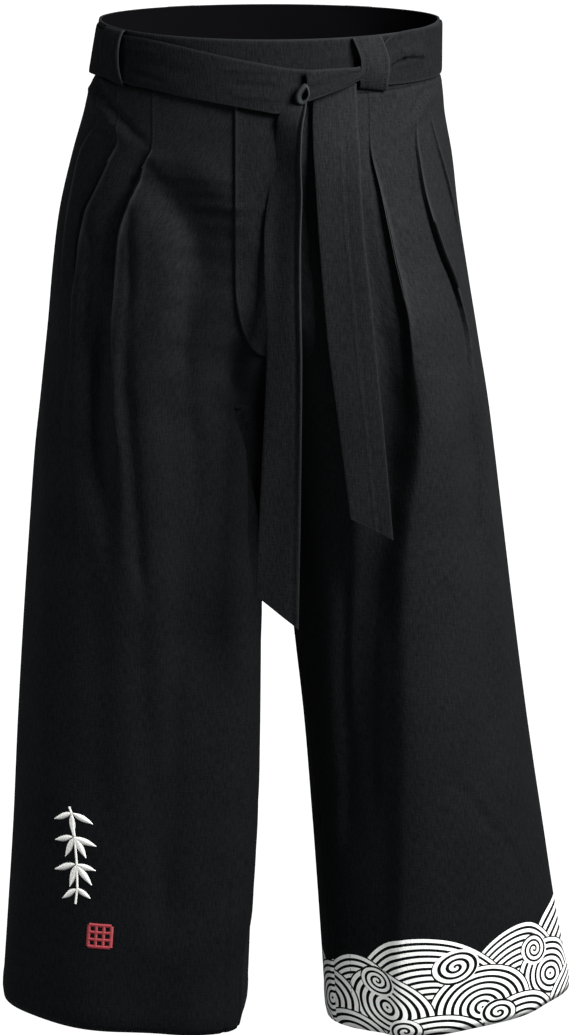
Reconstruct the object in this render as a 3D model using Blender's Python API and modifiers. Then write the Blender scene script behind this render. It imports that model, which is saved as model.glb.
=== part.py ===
"""Wide hakama-style trousers with a tied cloth belt, held open as when worn.

Frame: metres, +Z up, the front faces -Y and the wearer's left is +X.
The origin is the middle of the waist, halfway up the waistband.
Heights are written as drops below that origin, in millimetres.
"""

from collections import namedtuple
from math import acos, cos, pi, radians, sin, sqrt, tau

import bmesh
import bpy
from mathutils import Vector

MM = 0.001

# ---------------------------------------------------------------- driving sizes (mm)
BAND_TOP = -26.0            # drop of the waistband's upper edge
BAND_BOTTOM = 26.0          # drop of the seam under the waistband
CROTCH = 330.0              # drop of the crotch point
HEM = 935.0                 # drop of the hem
WAIST_HALF_WIDTH = 158.0
WAIST_HALF_DEPTH = 115.0
FRONT_DIP = 8.0             # how much lower the waist sits at centre front
BACK_RISE = 1.0             # how much higher it sits at centre back
DIP_LENGTH = 110.0          # drop by which the dip has faded out

PANEL_THICKNESS = 1.6
BAND_THICKNESS = 2.6
STRIP_THICKNESS = 1.8       # belt, tails, loops and placket: two layers of cloth
SEAM_GAP = 0.3              # between pieces that touch

RIGHT, LEFT = -1, 1         # the wearer's right leg is on the -X side

# ---------------------------------------------------------------- leg sections (mm)
# Each row is a level cut through one leg. outer and inner are the distances of its
# outer and inner sides from the centre plane, front and back its depths. square is
# how box-like its front inner corner is (2 is an ellipse, less draws the corner in), and
# tilt is how much the cut's outer side lies above its middle.
Section = namedtuple("Section", "drop outer inner front back square tilt")

SECTIONS = {
    RIGHT: [
        Section(26, 162, 0, 115, 115, 2.0, 0), Section(42, 168, 0, 118, 118, 2.0, 0),
        Section(62, 173, 0, 122, 122, 2.0, 0), Section(100, 184, 0, 128, 130, 2.0, 0),
        Section(150, 196, 0, 133, 138, 2.0, 0), Section(200, 203, 0, 136, 143, 2.0, 0),
        Section(260, 209, 0, 137, 144, 2.0, 0), Section(330, 217, 0, 134, 139, 2.0, 0),
        Section(380, 223, 2, 128, 133, 2.4, 0), Section(450, 229, 5, 122, 126, 2.7, 0),
        Section(550, 237, 8, 115, 118, 3.0, 0), Section(650, 244, 11, 110, 112, 3.4, 0),
        Section(750, 250, 15, 106, 107, 3.8, 1), Section(850, 258, 20, 103, 103, 4.6, 3),
        Section(935, 265, 24, 100, 100, 6.0, 6),
    ],
    LEFT: [
        Section(26, 159, 0, 115, 115, 2.0, 0), Section(42, 161, 0, 118, 118, 2.0, 0),
        Section(62, 163, 0, 122, 122, 2.0, 0), Section(100, 170, 0, 128, 130, 2.0, 0),
        Section(150, 176, 0, 133, 138, 2.0, 0), Section(200, 184, 0, 136, 143, 2.0, 0),
        Section(260, 194, 0, 137, 144, 2.0, 0), Section(330, 206, 0, 134, 139, 2.0, 0),
        Section(380, 213, 5, 128, 133, 1.9, 0), Section(450, 222, 13, 122, 126, 1.75, 0),
        Section(550, 235, 22, 115, 118, 1.65, 0), Section(650, 249, 33, 110, 112, 1.65, 0),
        Section(750, 264, 41, 106, 107, 1.7, 3), Section(850, 278, 47, 103, 103, 1.75, 7),
        Section(935, 293, 52, 100, 100, 1.85, 14),
    ],
}

# Above the crotch the two legs run together. parting is 0 where a level cut is one
# plain half oval and 1 where the leg has become a tube of its own.
Parting = namedtuple("Parting", "drop share")

PARTINGS = [
    Parting(26, 0.0), Parting(60, 0.0), Parting(100, 0.03), Parting(150, 0.12),
    Parting(200, 0.30), Parting(240, 0.52), Parting(270, 0.72), Parting(300, 0.89),
    Parting(330, 1.0), Parting(360, 1.0),
]

# The inseam starts under the crotch and is turned towards the front by the hem.
INSEAM_TURN = {RIGHT: radians(38), LEFT: radians(25)}

# ---------------------------------------------------------------- pleats
# Three on each front. angle is the way round the leg (0 at the side seam, -90 at the
# front) and lift is how far the folded edge stands out, in mm.
FoldPoint = namedtuple("FoldPoint", "drop angle lift")

PLEATS = {
    RIGHT: {
        "side": [
            FoldPoint(62, -24, 0), FoldPoint(78, -21, 2), FoldPoint(94, -19, 4),
            FoldPoint(137, -20, 4), FoldPoint(168, -21, 3), FoldPoint(211, -22, 1),
            FoldPoint(260, -23, 0),
        ],
        "middle": [
            FoldPoint(74, -39.5, 0), FoldPoint(95, -38.5, 4), FoldPoint(120, -36, 5),
            FoldPoint(145, -33, 6), FoldPoint(176, -34, 6), FoldPoint(209, -35.5, 4),
            FoldPoint(252, -37.5, 2), FoldPoint(320, -41, 0),
        ],
        "front": [
            FoldPoint(81, -53.5, 0), FoldPoint(97, -52.5, 4), FoldPoint(125, -52, 5),
            FoldPoint(153, -51, 6), FoldPoint(182, -53, 6), FoldPoint(212, -56, 5),
            FoldPoint(254, -61, 4), FoldPoint(309, -68.5, 2), FoldPoint(390, -76, 0),
        ],
    },
    LEFT: {
        "side": [
            FoldPoint(55, -25, 0), FoldPoint(73, -24, 3), FoldPoint(99, -22, 4),
            FoldPoint(126, -18, 4), FoldPoint(153, -13.5, 3), FoldPoint(189, -12, 1),
            FoldPoint(230, -12, 0),
        ],
        "middle": [
            FoldPoint(63, -35.5, 0), FoldPoint(85, -37, 4), FoldPoint(120, -37, 6),
            FoldPoint(153, -35, 6), FoldPoint(181, -32.5, 6), FoldPoint(210, -30, 5),
            FoldPoint(255, -28.5, 3), FoldPoint(320, -31, 0),
        ],
        "front": [
            FoldPoint(71, -57, 0), FoldPoint(97, -57, 4), FoldPoint(124, -56.5, 6),
            FoldPoint(154, -56.5, 7), FoldPoint(183, -57.5, 7), FoldPoint(203, -58.5, 7),
            FoldPoint(237, -62.5, 7), FoldPoint(289, -70.5, 6), FoldPoint(335, -75.5, 4),
            FoldPoint(383, -80.5, 3), FoldPoint(415, -85.5, 2), FoldPoint(500, -92, 0),
        ],
    },
}
PLEAT_TROUGH = 0.6          # depth of the hollow beside an edge, as a share of its lift
TROUGH_WIDTH = 14.0         # mm
RIDGE_WIDTH = 30.0          # mm
# Columns of the mesh beside each folded edge, in mm across it.
EDGE_COLUMNS = (-16.0, -7.0, -1.2, 1.2, 8.0, 20.0)
PLEAT_ORDER = ("side", "middle", "front")
SPREAD_DROPS = (400.0, 560.0)   # below the pleats the columns spread out evenly

# ---------------------------------------------------------------- mesh rows (drops, mm)
PANEL_ROWS = [
    26.3, 45, 62, 80, 96, 113, 132, 152, 175, 200, 228, 256, 280, 300, 315, 325, 330,
    345, 375, 420, 480, 550, 630, 720, 810, 880, 935,
]
FRONT_COLUMNS = 8           # between the last pleat and the centre
BACK_COLUMNS = 14

# ---------------------------------------------------------------- belt and its ties (mm)
# The belt runs from the knot round the wearer's left side, the back and the right side,
# and returns to the knot. way is the angle round the waist (0 at +X, 90 at the back,
# 270 at the front). stand is how far its inner face stands off the waistband along its
# upper edge, and flare is how much farther along its lower edge.
BeltPoint = namedtuple("BeltPoint", "way top bottom stand flare")

BELT = [
    BeltPoint(-78.6, 8.5, 36, 8.0, 0.0), BeltPoint(-73, 8, 31, 8.0, 0.0),
    BeltPoint(-67, 7.5, 25.5, 7.8, 0.0), BeltPoint(-61, 7, 19.5, 7.0, 0.0),
    BeltPoint(-56, 2, 20, 5.0, 0.0), BeltPoint(-50, -12, 25, 2.2, 0.0),
    BeltPoint(-46, -19, 26, 1.2, 0.0), BeltPoint(-38, -22, 26, 0.9, 0.0),
    BeltPoint(-20, -23, 25, 0.8, 0.0), BeltPoint(0, -23, 23, 0.8, 0.0),
    BeltPoint(30, -22, 21, 0.8, 0.0), BeltPoint(60, -22, 21, 0.8, 0.0),
    BeltPoint(90, -22, 21, 0.8, 0.0), BeltPoint(120, -22, 21, 0.8, 0.0),
    BeltPoint(150, -22, 22, 0.8, 1.0), BeltPoint(180, -20, 24, 0.6, 7.8),
    BeltPoint(190, -19, 24, 1.2, 5.2), BeltPoint(200, -18, 24, 1.6, 2.6),
    BeltPoint(208.5, -17, 25, 2.2, 1.6), BeltPoint(216, -17, 26.5, 2.2, 0.8),
    BeltPoint(226, -16, 29, 2.2, 0.6), BeltPoint(240, -11, 34, 2.0, 2.0),
    BeltPoint(254, -4, 39, 2.4, 4.0), BeltPoint(268, 3, 45, 4.2, 6.0),
    BeltPoint(273, 5.5, 47, 4.8, 6.0), BeltPoint(276, 7, 43, 4.6, 4.4),
    BeltPoint(279.5, 8, 37, 3.4, 2.0), BeltPoint(283.5, 9, 33, 1.2, 0.2),
]
BELT_COLUMNS = 64

# Each tie hangs from the knot. left and right are its edges' x, and depth is how far in
# front of the origin it hangs. Its top lies against the front, TIE_CLEARANCE off it.
TiePoint = namedtuple("TiePoint", "drop left right depth")

LONG_TIE = [
    TiePoint(45, 9, 31, 122), TiePoint(60, 7, 30, 127), TiePoint(88, 3, 29, 134),
    TiePoint(115, 0, 30, 141), TiePoint(150, -4, 29, 144.5), TiePoint(200, -4, 29, 146),
    TiePoint(255, -2, 30, 146), TiePoint(373, -7, 29, 145), TiePoint(490, -13, 27, 144),
]
SHORT_TIE = [
    TiePoint(22, 42, 79, 117), TiePoint(50, 41, 80, 122), TiePoint(77, 41, 82, 131),
    TiePoint(109, 42, 83, 139), TiePoint(150, 44, 86, 143), TiePoint(200, 48, 92, 145),
    TiePoint(255, 53, 98, 145), TiePoint(340, 64, 107, 144), TiePoint(417, 74, 114, 143),
]
LONG_TIE_YAW, SHORT_TIE_YAW = 8.0, 1.5   # how far a tie's right edge is turned forward
LONG_TIE_SLANT = 30.0       # how much lower a tie's right corner ends than its left one
SHORT_TIE_SLANT = 20.0
TIE_CLEARANCE = 3.9
TIE_FREE = (30.0, 110.0)    # drops between which a tie leaves the front and hangs free

PLACKET_LEFT = -30.5
PLACKET_RIGHT = 8.0
PLACKET_BOTTOM = 275.0
PLACKET_CURVE = 80.0        # height of its rounded lower corner

KNOT_CENTRE = (31.3, -127.6, -30.0)
KNOT_SIZE = (14.5, 8.6, 21.0)
KNOT_ROUNDING = 3.6

# way is a loop's middle round the waist, and stand is its middle's inner face off the
# waistband: more where the belt is bunched in it.
Loop = namedtuple("Loop", "name way stand")

LOOPS = [
    Loop("belt_loop_front_left", -54, 9.0), Loop("belt_loop_front_right", 208.5, 8.4),
    Loop("belt_loop_back_left", 58, 6.0), Loop("belt_loop_back_right", 122, 6.0),
]
LOOP_WIDTH = 28.0
LOOP_TOP = -26.0            # drops, before the waist's dip
LOOP_BOTTOM = 25.8
LOOP_BEND = 0.07            # share of its height in which each end turns in
LOOP_END_STAND = 0.5        # of its sewn ends

# ---------------------------------------------------------------- colours
BLACK_CLOTH = (0.017, 0.018, 0.020, 1.0)
BAND_CLOTH = (0.021, 0.022, 0.024, 1.0)


# ================================================================ shape functions
def along(rows, column, drop):
    """A smooth curve through one column of a table, read at a drop."""
    first = rows[0][0]
    last = rows[-1][0]
    drop = min(max(drop, first), last)
    index = 0
    while index < len(rows) - 2 and rows[index + 1][0] < drop:
        index += 1
    low, high = rows[index], rows[index + 1]
    before = rows[max(index - 1, 0)]
    after = rows[min(index + 2, len(rows) - 1)]
    place = getattr(low, column)
    target = getattr(high, column)
    length = high[0] - low[0]
    slope_low = (target - getattr(before, column)) / (high[0] - before[0])
    slope_high = (getattr(after, column) - place) / (after[0] - low[0])
    t = (drop - low[0]) / length
    return (
        place * (2 * t**3 - 3 * t**2 + 1)
        + slope_low * length * (t**3 - 2 * t**2 + t)
        + target * (3 * t**2 - 2 * t**3)
        + slope_high * length * (t**3 - t**2)
    )


def fade(value, start, end):
    """0 at start, 1 at end, smooth between them."""
    share = min(max((value - start) / (end - start), 0.0), 1.0)
    return share * share * (3 - 2 * share)


def waist_shift(depth_share, drop):
    """How far a point moves up (mm): the waist dips in front and rises behind."""
    amount = -FRONT_DIP if depth_share < 0 else BACK_RISE
    return amount * abs(depth_share) * (1 - fade(drop, BAND_BOTTOM, DIP_LENGTH))


def leg_section(side, drop):
    """Centre and half width of a leg's level cut, and its share of parting."""
    rows = SECTIONS[side]
    outer = along(rows, "outer", drop)
    if drop < CROTCH:
        share = min(along(PARTINGS, "share", drop), 1.0)
        half = outer / (1 + share)
        return share * half, half, share
    inner = max(along(rows, "inner", drop), SEAM_GAP / 2)
    return (outer + inner) / 2, (outer - inner) / 2, 1.0


def round_radius(side, drop, angle):
    """Millimetres travelled for each radian round the leg."""
    _, half, _ = leg_section(side, drop)
    depth = along(SECTIONS[side], "front" if angle < 0 else "back", drop)
    return sqrt((half * sin(angle)) ** 2 + (depth * cos(angle)) ** 2)


def pleat_relief(side, drop, angle):
    """How far the pleats push the front outwards at a point (mm)."""
    total = 0.0
    for name in PLEAT_ORDER:
        rows = PLEATS[side][name]
        lift = along(rows, "lift", drop) * fade(drop, rows[0].drop - 1, rows[0].drop + 12)
        if drop >= rows[-1].drop or lift <= 0:
            continue
        edge = radians(along(rows, "angle", drop))
        across = side * (angle - edge) * round_radius(side, drop, edge)
        if across < 0:
            total -= lift * PLEAT_TROUGH * 2.72 ** (-((across / TROUGH_WIDTH) ** 2))
        else:
            total += lift * 2.72 ** (-((across / RIDGE_WIDTH) ** 2))
    return total


def leg_point(side, drop, angle, out=0.0):
    """A point on a leg's outer face, moved outwards by out (mm)."""
    rows = SECTIONS[side]
    if angle > pi:
        angle -= tau
    centre, half, _ = leg_section(side, drop)
    depth = along(rows, "front" if angle < 0 else "back", drop)
    power = along(rows, "square", drop) if -pi < angle < -pi / 2 else 2.0
    reach = (abs(cos(angle)) ** power + abs(sin(angle)) ** power) ** (-1 / power)
    out += pleat_relief(side, drop, angle) if -2.2 < angle < 0.6 else 0.0
    x = centre + (half + out) * reach * cos(angle)
    y = (depth + out) * reach * sin(angle)
    lift = along(rows, "tilt", drop) * cos(angle) + waist_shift(sin(angle), drop)
    return Vector((side * x, y, lift - drop)) * MM


def leg_normal(side, drop, angle):
    """The outward direction of a leg's outer face."""
    step_round, step_down = 0.004, 1.0
    across = leg_point(side, drop, angle + step_round) - leg_point(side, drop, angle - step_round)
    down = leg_point(side, drop + step_down, angle) - leg_point(side, drop - step_down, angle)
    return (across.cross(down) * -side).normalized()


def end_angle(side, drop, half_name):
    """Angle at which a front or back panel ends: centre seam or inseam."""
    clear = SEAM_GAP / 2
    if drop < CROTCH:
        centre, half, _ = leg_section(side, drop)
        angle = acos(max(-1.0, min(1.0, (clear - centre) / half)))
        return -angle if half_name == "front" else angle
    turn = INSEAM_TURN[side] * fade(drop, CROTCH, HEM)
    radius = max(round_radius(side, drop, pi - turn), 20.0)
    if half_name == "front":
        return -(pi - turn) + clear / radius
    return pi + turn - clear / radius


def front_angles(side, drop):
    """The mesh columns of a front panel at one level, from side seam to centre."""
    start = -SEAM_GAP / 2 / round_radius(side, drop, 0)
    finish = end_angle(side, drop, "front")
    gathered = [start]
    for name in PLEAT_ORDER:
        rows = PLEATS[side][name]
        edge = radians(along(rows, "angle", drop))
        radius = round_radius(side, drop, edge)
        span = sorted((edge + side * step / radius for step in EDGE_COLUMNS), reverse=True)
        gathered.append((gathered[-1] + span[0]) / 2)
        gathered.extend(span)
    last = gathered[-1]
    for index in range(1, FRONT_COLUMNS + 1):
        gathered.append(last + (finish - last) * index / FRONT_COLUMNS)
    spread = fade(drop, *SPREAD_DROPS)
    count = len(gathered) - 1
    return [
        angle + (start + (finish - start) * index / count - angle) * spread
        for index, angle in enumerate(gathered)
    ]


def back_angles(side, drop):
    start = SEAM_GAP / 2 / round_radius(side, drop, 0.01)
    finish = end_angle(side, drop, "back")
    return [start + (finish - start) * i / BACK_COLUMNS for i in range(BACK_COLUMNS + 1)]


def waist_point(way, drop, out, dipped=True):
    """A point round the waist, out mm off the waistband's outer face."""
    x = (WAIST_HALF_WIDTH + out) * cos(way)
    y = (WAIST_HALF_DEPTH + out) * sin(way)
    shift = waist_shift(sin(way), BAND_BOTTOM) if dipped else 0.0
    return Vector((x, y, shift - drop)) * MM


def front_depth(x, drop):
    """Depth of the trousers' front at a distance x from the centre plane (mm)."""
    side = LEFT if x > 0 else RIGHT
    centre, half, _ = leg_section(side, drop)
    share = (abs(x) - centre) / half
    return along(SECTIONS[side], "front", drop) * sqrt(max(1 - share * share, 0.0))


# ================================================================ building
def clear_scene():
    for old in list(bpy.data.objects):
        bpy.data.objects.remove(old)


def cloth_material(name, colour):
    material = bpy.data.materials.new(name)
    material.use_nodes = True
    shader = material.node_tree.nodes["Principled BSDF"]
    shader.inputs["Base Color"].default_value = colour
    shader.inputs["Roughness"].default_value = 0.85
    shader.inputs["Metallic"].default_value = 0.0
    return material


def add_mesh(name, bm, colour, collection):
    mesh = bpy.data.meshes.new(name)
    bmesh.ops.recalc_face_normals(bm, faces=bm.faces[:])
    if bm.calc_volume(signed=True) < 0:
        bmesh.ops.reverse_faces(bm, faces=bm.faces[:])
    bm.to_mesh(mesh)
    bm.free()
    mesh.shade_smooth()
    mesh.set_sharp_from_angle(angle=radians(50))
    thing = bpy.data.objects.new(name, mesh)
    thing.data.materials.append(cloth_material(name, colour))
    collection.objects.link(thing)
    return thing


def cloth_wall(name, columns, rows, outer, inner, colour, collection):
    """A closed wall from a grid: outer(i, j) and inner(i, j) place its two faces."""
    bm = bmesh.new()
    bmesh.ops.create_grid(bm, x_segments=columns, y_segments=rows, size=1.0)
    for vert in bm.verts:
        vert.co.x = round((vert.co.x + 1) / 2 * columns)
        vert.co.y = round((1 - vert.co.y) / 2 * rows)
    inner_verts = list(bm.verts)
    grown = bmesh.ops.extrude_face_region(bm, geom=bm.faces[:], use_keep_orig=True)
    outer_verts = [item for item in grown["geom"] if isinstance(item, bmesh.types.BMVert)]
    for verts, place in ((inner_verts, inner), (outer_verts, outer)):
        for vert in verts:
            vert.co = place(round(vert.co.x), round(vert.co.y))
    return add_mesh(name, bm, colour, collection)


def build_panel(name, side, angles, collection):
    """One front or back panel, from the waistband's seam to the hem."""
    rows = PANEL_ROWS
    table = [angles(side, drop) for drop in rows]

    def outer(column, row):
        return leg_point(side, rows[row], table[row][column])

    def inner(column, row):
        drop, angle = rows[row], table[row][column]
        return outer(column, row) - leg_normal(side, drop, angle) * PANEL_THICKNESS * MM

    cloth_wall(name, len(table[0]) - 1, len(rows) - 1, outer, inner, BLACK_CLOTH, collection)


def build_waistband(name, start_way, end_way, collection):
    columns, rows = 28, 3
    margin = SEAM_GAP / 2 / WAIST_HALF_DEPTH

    def face(out):
        def place(column, row):
            span = end_way - start_way - 2 * margin
            way = start_way + margin + span * column / columns
            drop = BAND_TOP + (BAND_BOTTOM - BAND_TOP) * row / rows
            return waist_point(way, drop, out)
        return place

    cloth_wall(name, columns, rows, face(0.0), face(-BAND_THICKNESS), BAND_CLOTH, collection)


def build_placket(collection):
    """The folded strip over the fly, lying on both fronts."""
    columns, rows = 8, 22
    top = BAND_BOTTOM + SEAM_GAP

    def face(out):
        def place(column, row):
            drop = top + (PLACKET_BOTTOM - top) * row / rows
            corner = max(drop - (PLACKET_BOTTOM - PLACKET_CURVE), 0.0) / PLACKET_CURVE
            left = PLACKET_LEFT * sqrt(max(1 - corner * corner, 0.0))
            x = left + (PLACKET_RIGHT - left) * column / columns
            y = -(front_depth(x, drop) + out)
            return Vector((x, y, waist_shift(y / WAIST_HALF_DEPTH, drop) - drop)) * MM
        return place

    inside = 2.0
    cloth_wall("fly_placket", columns, rows, face(inside + STRIP_THICKNESS), face(inside),
               BLACK_CLOTH, collection)


def build_belt(collection):
    rows = 3
    first, last = BELT[0].way, BELT[-1].way

    def face(out):
        def place(column, row):
            way = first + (last - first) * column / BELT_COLUMNS
            top = along(BELT, "top", way)
            bottom = along(BELT, "bottom", way)
            share = row / rows
            stand = along(BELT, "stand", way) + along(BELT, "flare", way) * share
            drop = top + (bottom - top) * share
            return waist_point(radians(way), drop, stand + out, dipped=False)
        return place

    cloth_wall("belt", BELT_COLUMNS, rows, face(STRIP_THICKNESS), face(0.0),
               BAND_CLOTH, collection)


def build_tie(name, table, slant, yaw, collection):
    """A free end of the belt, flat and hanging, with a slanted tip."""
    columns, rows = 4, 18
    top, bottom = table[0].drop, table[-1].drop

    def face(out):
        def place(column, row):
            across = column / columns
            drop = top + (bottom - top) * row / rows
            left = along(table, "left", drop)
            right = along(table, "right", drop)
            x = left + (right - left) * across
            free = fade(drop, *TIE_FREE)
            against = front_depth(x, max(drop, BAND_BOTTOM)) + TIE_CLEARANCE
            depth = against + (along(table, "depth", drop) - against) * free + out
            depth += yaw * (across - 0.5) * free
            lower = slant * across * fade(drop, top, bottom)
            return Vector((x, -depth, -(drop + lower))) * MM
        return place

    cloth_wall(name, columns, rows, face(STRIP_THICKNESS), face(0.0), BAND_CLOTH, collection)


def build_knot(collection):
    """The wrapped turn that ties the belt, as one soft rounded form."""
    bm = bmesh.new()
    bmesh.ops.create_cube(bm, size=1.0)
    for vert in bm.verts:
        for axis in range(3):
            vert.co[axis] *= KNOT_SIZE[axis] * MM
    bmesh.ops.translate(bm, verts=bm.verts, vec=Vector(KNOT_CENTRE) * MM)
    knot = add_mesh("belt_knot", bm, BAND_CLOTH, collection)
    round_off = knot.modifiers.new("rounding", "BEVEL")
    round_off.width = KNOT_ROUNDING * MM
    round_off.segments = 3


def build_loop(loop, collection):
    """A belt loop: sewn down at both ends, standing out over the belt between them."""
    columns, rows = 3, 14
    middle = radians(loop.way)
    radius = sqrt((WAIST_HALF_WIDTH * sin(middle)) ** 2 + (WAIST_HALF_DEPTH * cos(middle)) ** 2)
    half = LOOP_WIDTH / 2 / radius

    def face(out):
        def place(column, row):
            way = middle + half * (2 * column / columns - 1)
            share = row / rows
            drop = LOOP_TOP + (LOOP_BOTTOM - LOOP_TOP) * share
            bend = fade(min(share, 1 - share), 0.0, LOOP_BEND)
            stand = LOOP_END_STAND + (loop.stand - LOOP_END_STAND) * bend
            return waist_point(way, drop, stand + out)
        return place

    cloth_wall(loop.name, columns, rows, face(STRIP_THICKNESS), face(0.0),
               BAND_CLOTH, collection)


def main():
    clear_scene()
    trousers = bpy.data.collections.new("hakama_trousers")
    bpy.context.scene.collection.children.link(trousers)

    build_panel("front_right", RIGHT, front_angles, trousers)
    build_panel("front_left", LEFT, front_angles, trousers)
    build_panel("back_right", RIGHT, back_angles, trousers)
    build_panel("back_left", LEFT, back_angles, trousers)
    build_waistband("waistband_front", pi, tau, trousers)
    build_waistband("waistband_back", 0.0, pi, trousers)
    build_placket(trousers)
    build_belt(trousers)
    build_knot(trousers)
    build_tie("belt_tie_long", LONG_TIE, LONG_TIE_SLANT, LONG_TIE_YAW, trousers)
    build_tie("belt_tie_short", SHORT_TIE, SHORT_TIE_SLANT, SHORT_TIE_YAW, trousers)
    for loop in LOOPS:
        build_loop(loop, trousers)


main()
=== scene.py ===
# %% [markdown]
# # Wide pleated trousers with a tied cloth belt
# These are hakama-style trousers of black cotton and linen. They are shown standing open,
# as when someone wears them. Their solids are already made to size, so this lesson only
# dresses them. Each solid is replaced by a thin shell of cloth with its folds, stitches
# and finish, and the shell stays on the form that its solid gives.

from collections import namedtuple
from math import acos, cos, exp, pi, radians, sin, sqrt, tau

import bmesh
import bpy
from mathutils import Matrix, Vector


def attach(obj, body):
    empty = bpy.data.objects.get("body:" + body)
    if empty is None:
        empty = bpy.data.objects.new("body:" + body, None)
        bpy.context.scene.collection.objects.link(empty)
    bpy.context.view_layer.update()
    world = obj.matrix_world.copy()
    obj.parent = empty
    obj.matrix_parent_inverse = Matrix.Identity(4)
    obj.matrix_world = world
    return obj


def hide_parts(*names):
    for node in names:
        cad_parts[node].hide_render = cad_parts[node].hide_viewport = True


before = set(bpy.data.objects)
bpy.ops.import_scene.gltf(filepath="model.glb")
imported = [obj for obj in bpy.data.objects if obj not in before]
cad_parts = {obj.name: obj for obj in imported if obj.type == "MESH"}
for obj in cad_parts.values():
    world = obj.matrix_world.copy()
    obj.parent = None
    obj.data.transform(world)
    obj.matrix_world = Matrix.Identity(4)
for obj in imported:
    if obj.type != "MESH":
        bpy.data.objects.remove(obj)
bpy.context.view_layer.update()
MM = 0.001


def named(kind, *rows):
    """Plain rows of values as rows whose values have names."""
    return [kind(*row) for row in rows]


# %% [markdown]
# ## The camera
# The trousers are looked at from a little above the waist, with a long lens, so that the
# legs keep their true width. The lens is found from the distance and from how much of
# the garment fills the frame. A camera in Blender looks along its own -Z axis, and a
# turn of 90 degrees about X stands it upright. A smaller turn tips it down.

# %% Camera
CAMERA_PLACE = (0.014, -3.4, 0.376)
CAMERA_TIP_DOWN = 13.66         # degrees
LENS, SENSOR = 127.3, 36.0      # mm
SIGHT = 200.0                   # metres, past the far end of the floor


def add_object(name, data, *collections):
    """An object in the scene, and in the other collections that are given."""
    made = bpy.data.objects.new(name, data)
    for collection in (bpy.context.scene.collection, *collections):
        collection.objects.link(made)
    return made


camera_data = bpy.data.cameras.new("camera")
camera_data.lens = LENS
camera_data.sensor_fit = "VERTICAL"
camera_data.sensor_height = SENSOR
camera_data.clip_end = SIGHT
camera = add_object("camera", camera_data)
camera.location = CAMERA_PLACE
camera.rotation_euler = (radians(90 - CAMERA_TIP_DOWN), 0.0, 0.0)
bpy.context.scene.camera = camera
print("camera", LENS, "mm, tipped down", CAMERA_TIP_DOWN, "degrees")

# %% [markdown]
# ## A pale studio
# Black cloth shows its shape only where light rakes over it. One soft lamp stands high at
# the right, so each fold has a bright side and a dark side. It is dimmed for the wearer's
# right leg, so that leg gets a copy of its own. Weaker lamps at the left and low in front
# lift the deepest shade, and the white room fills the rest a little. The lamps are area
# lights, because a small lamp would give hard shadows. A sun that only the floor takes
# keeps the floor white.

# %% Floor, room and lamps
FLOOR_DROP = 1060.0             # mm under the waist, a hand's width under the hems
FLOOR_SIZE = 90.0               # metres
FLOOR_SUN, SUN_SPREAD = 3.4, 60.0       # strength, and degrees across
ROOM_LIGHT = 0.24
# Azimuth and elevation in degrees, distance and size in metres, power in watts. Azimuth
# runs from the front towards the wearer's left.
Lamp = namedtuple("Lamp", "name azimuth elevation distance size power aim lights")
LAMPS = named(
    Lamp,
    ("key_lamp", 48, 40, 1.55, 0.6, 106, (0, 0, -0.35), "bright_side"),
    ("dimmed_key", 48, 40, 1.55, 0.6, 80, (0, 0, -0.35), "dim_side"),
    ("left_fill", -80, 12, 2.2, 1.2, 16, (0, 0, -0.5), "bright_side"),
    ("outer_fill", -80, 12, 2.2, 1.2, 20, (0, 0, -0.5), "dim_side"),
    ("low_fill", -10, 5, 1.2, 0.6, 3.5, (0.15, 0, -0.9), "garment"),
)


def linear(hex_colour):
    """An sRGB hex colour as the linear colour that shaders use."""
    parts = [int(hex_colour[i:i + 2], 16) / 255 for i in (1, 3, 5)]
    return [p / 12.92 if p <= 0.04045 else ((p + 0.055) / 1.055) ** 2.4 for p in parts] + [1.0]


def node(tree, kind, inputs=None, **settings):
    """Adds a node, sets it, and links or sets its inputs, by name or by number."""
    made = tree.nodes.new(kind)
    for name, value in settings.items():
        setattr(made, name, value)
    for key, value in (inputs or {}).items():
        if isinstance(value, bpy.types.NodeSocket):
            tree.links.new(value, made.inputs[key])
        else:
            made.inputs[key].default_value = value
    return made


def new_material(name, **uniform):
    """An empty material with one shader. uniform are the shader's plain values."""
    material = bpy.data.materials.new(name)
    material.use_nodes = True
    shader = material.node_tree.nodes["Principled BSDF"]
    for key, value in uniform.items():
        shader.inputs[key.replace("_", " ")].default_value = value
    return material, material.node_tree, shader


def mesh_object(name, bm, material, *collections):
    """Turns a bmesh into an object of one material."""
    mesh = bpy.data.meshes.new(name)
    bm.to_mesh(mesh)
    bm.free()
    mesh.materials.append(material)
    return add_object(name, mesh, *collections)


groups = {name: bpy.data.collections.new(name)
          for name in ("garment", "bright_side", "dim_side", "studio")}

# Painted studio floor: matt and almost white, so that it doesn't compete with the cloth.
floor_paint, _, _ = new_material("painted_floor", Base_Color=linear("#f4f4f2"), Roughness=0.9)
bm = bmesh.new()
bmesh.ops.create_grid(bm, x_segments=1, y_segments=1, size=FLOOR_SIZE / 2)
bmesh.ops.translate(bm, verts=bm.verts, vec=(0, 0, -FLOOR_DROP * MM))
floor = mesh_object("floor", bm, floor_paint, groups["studio"])
floor.visible_diffuse = False           # the floor sends no light up into the cloth
floor.visible_glossy = False

room = bpy.data.worlds.new("white_room")
room.use_nodes = True
room_paint = room.node_tree.nodes["Background"].inputs
room_paint["Color"].default_value = linear("#f4f8ff")
room_paint["Strength"].default_value = ROOM_LIGHT
bpy.context.scene.world = room
# Standard shows colours as they are. The usual filmic curve would grey the white print.
bpy.context.scene.view_settings.view_transform = "Standard"

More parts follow.
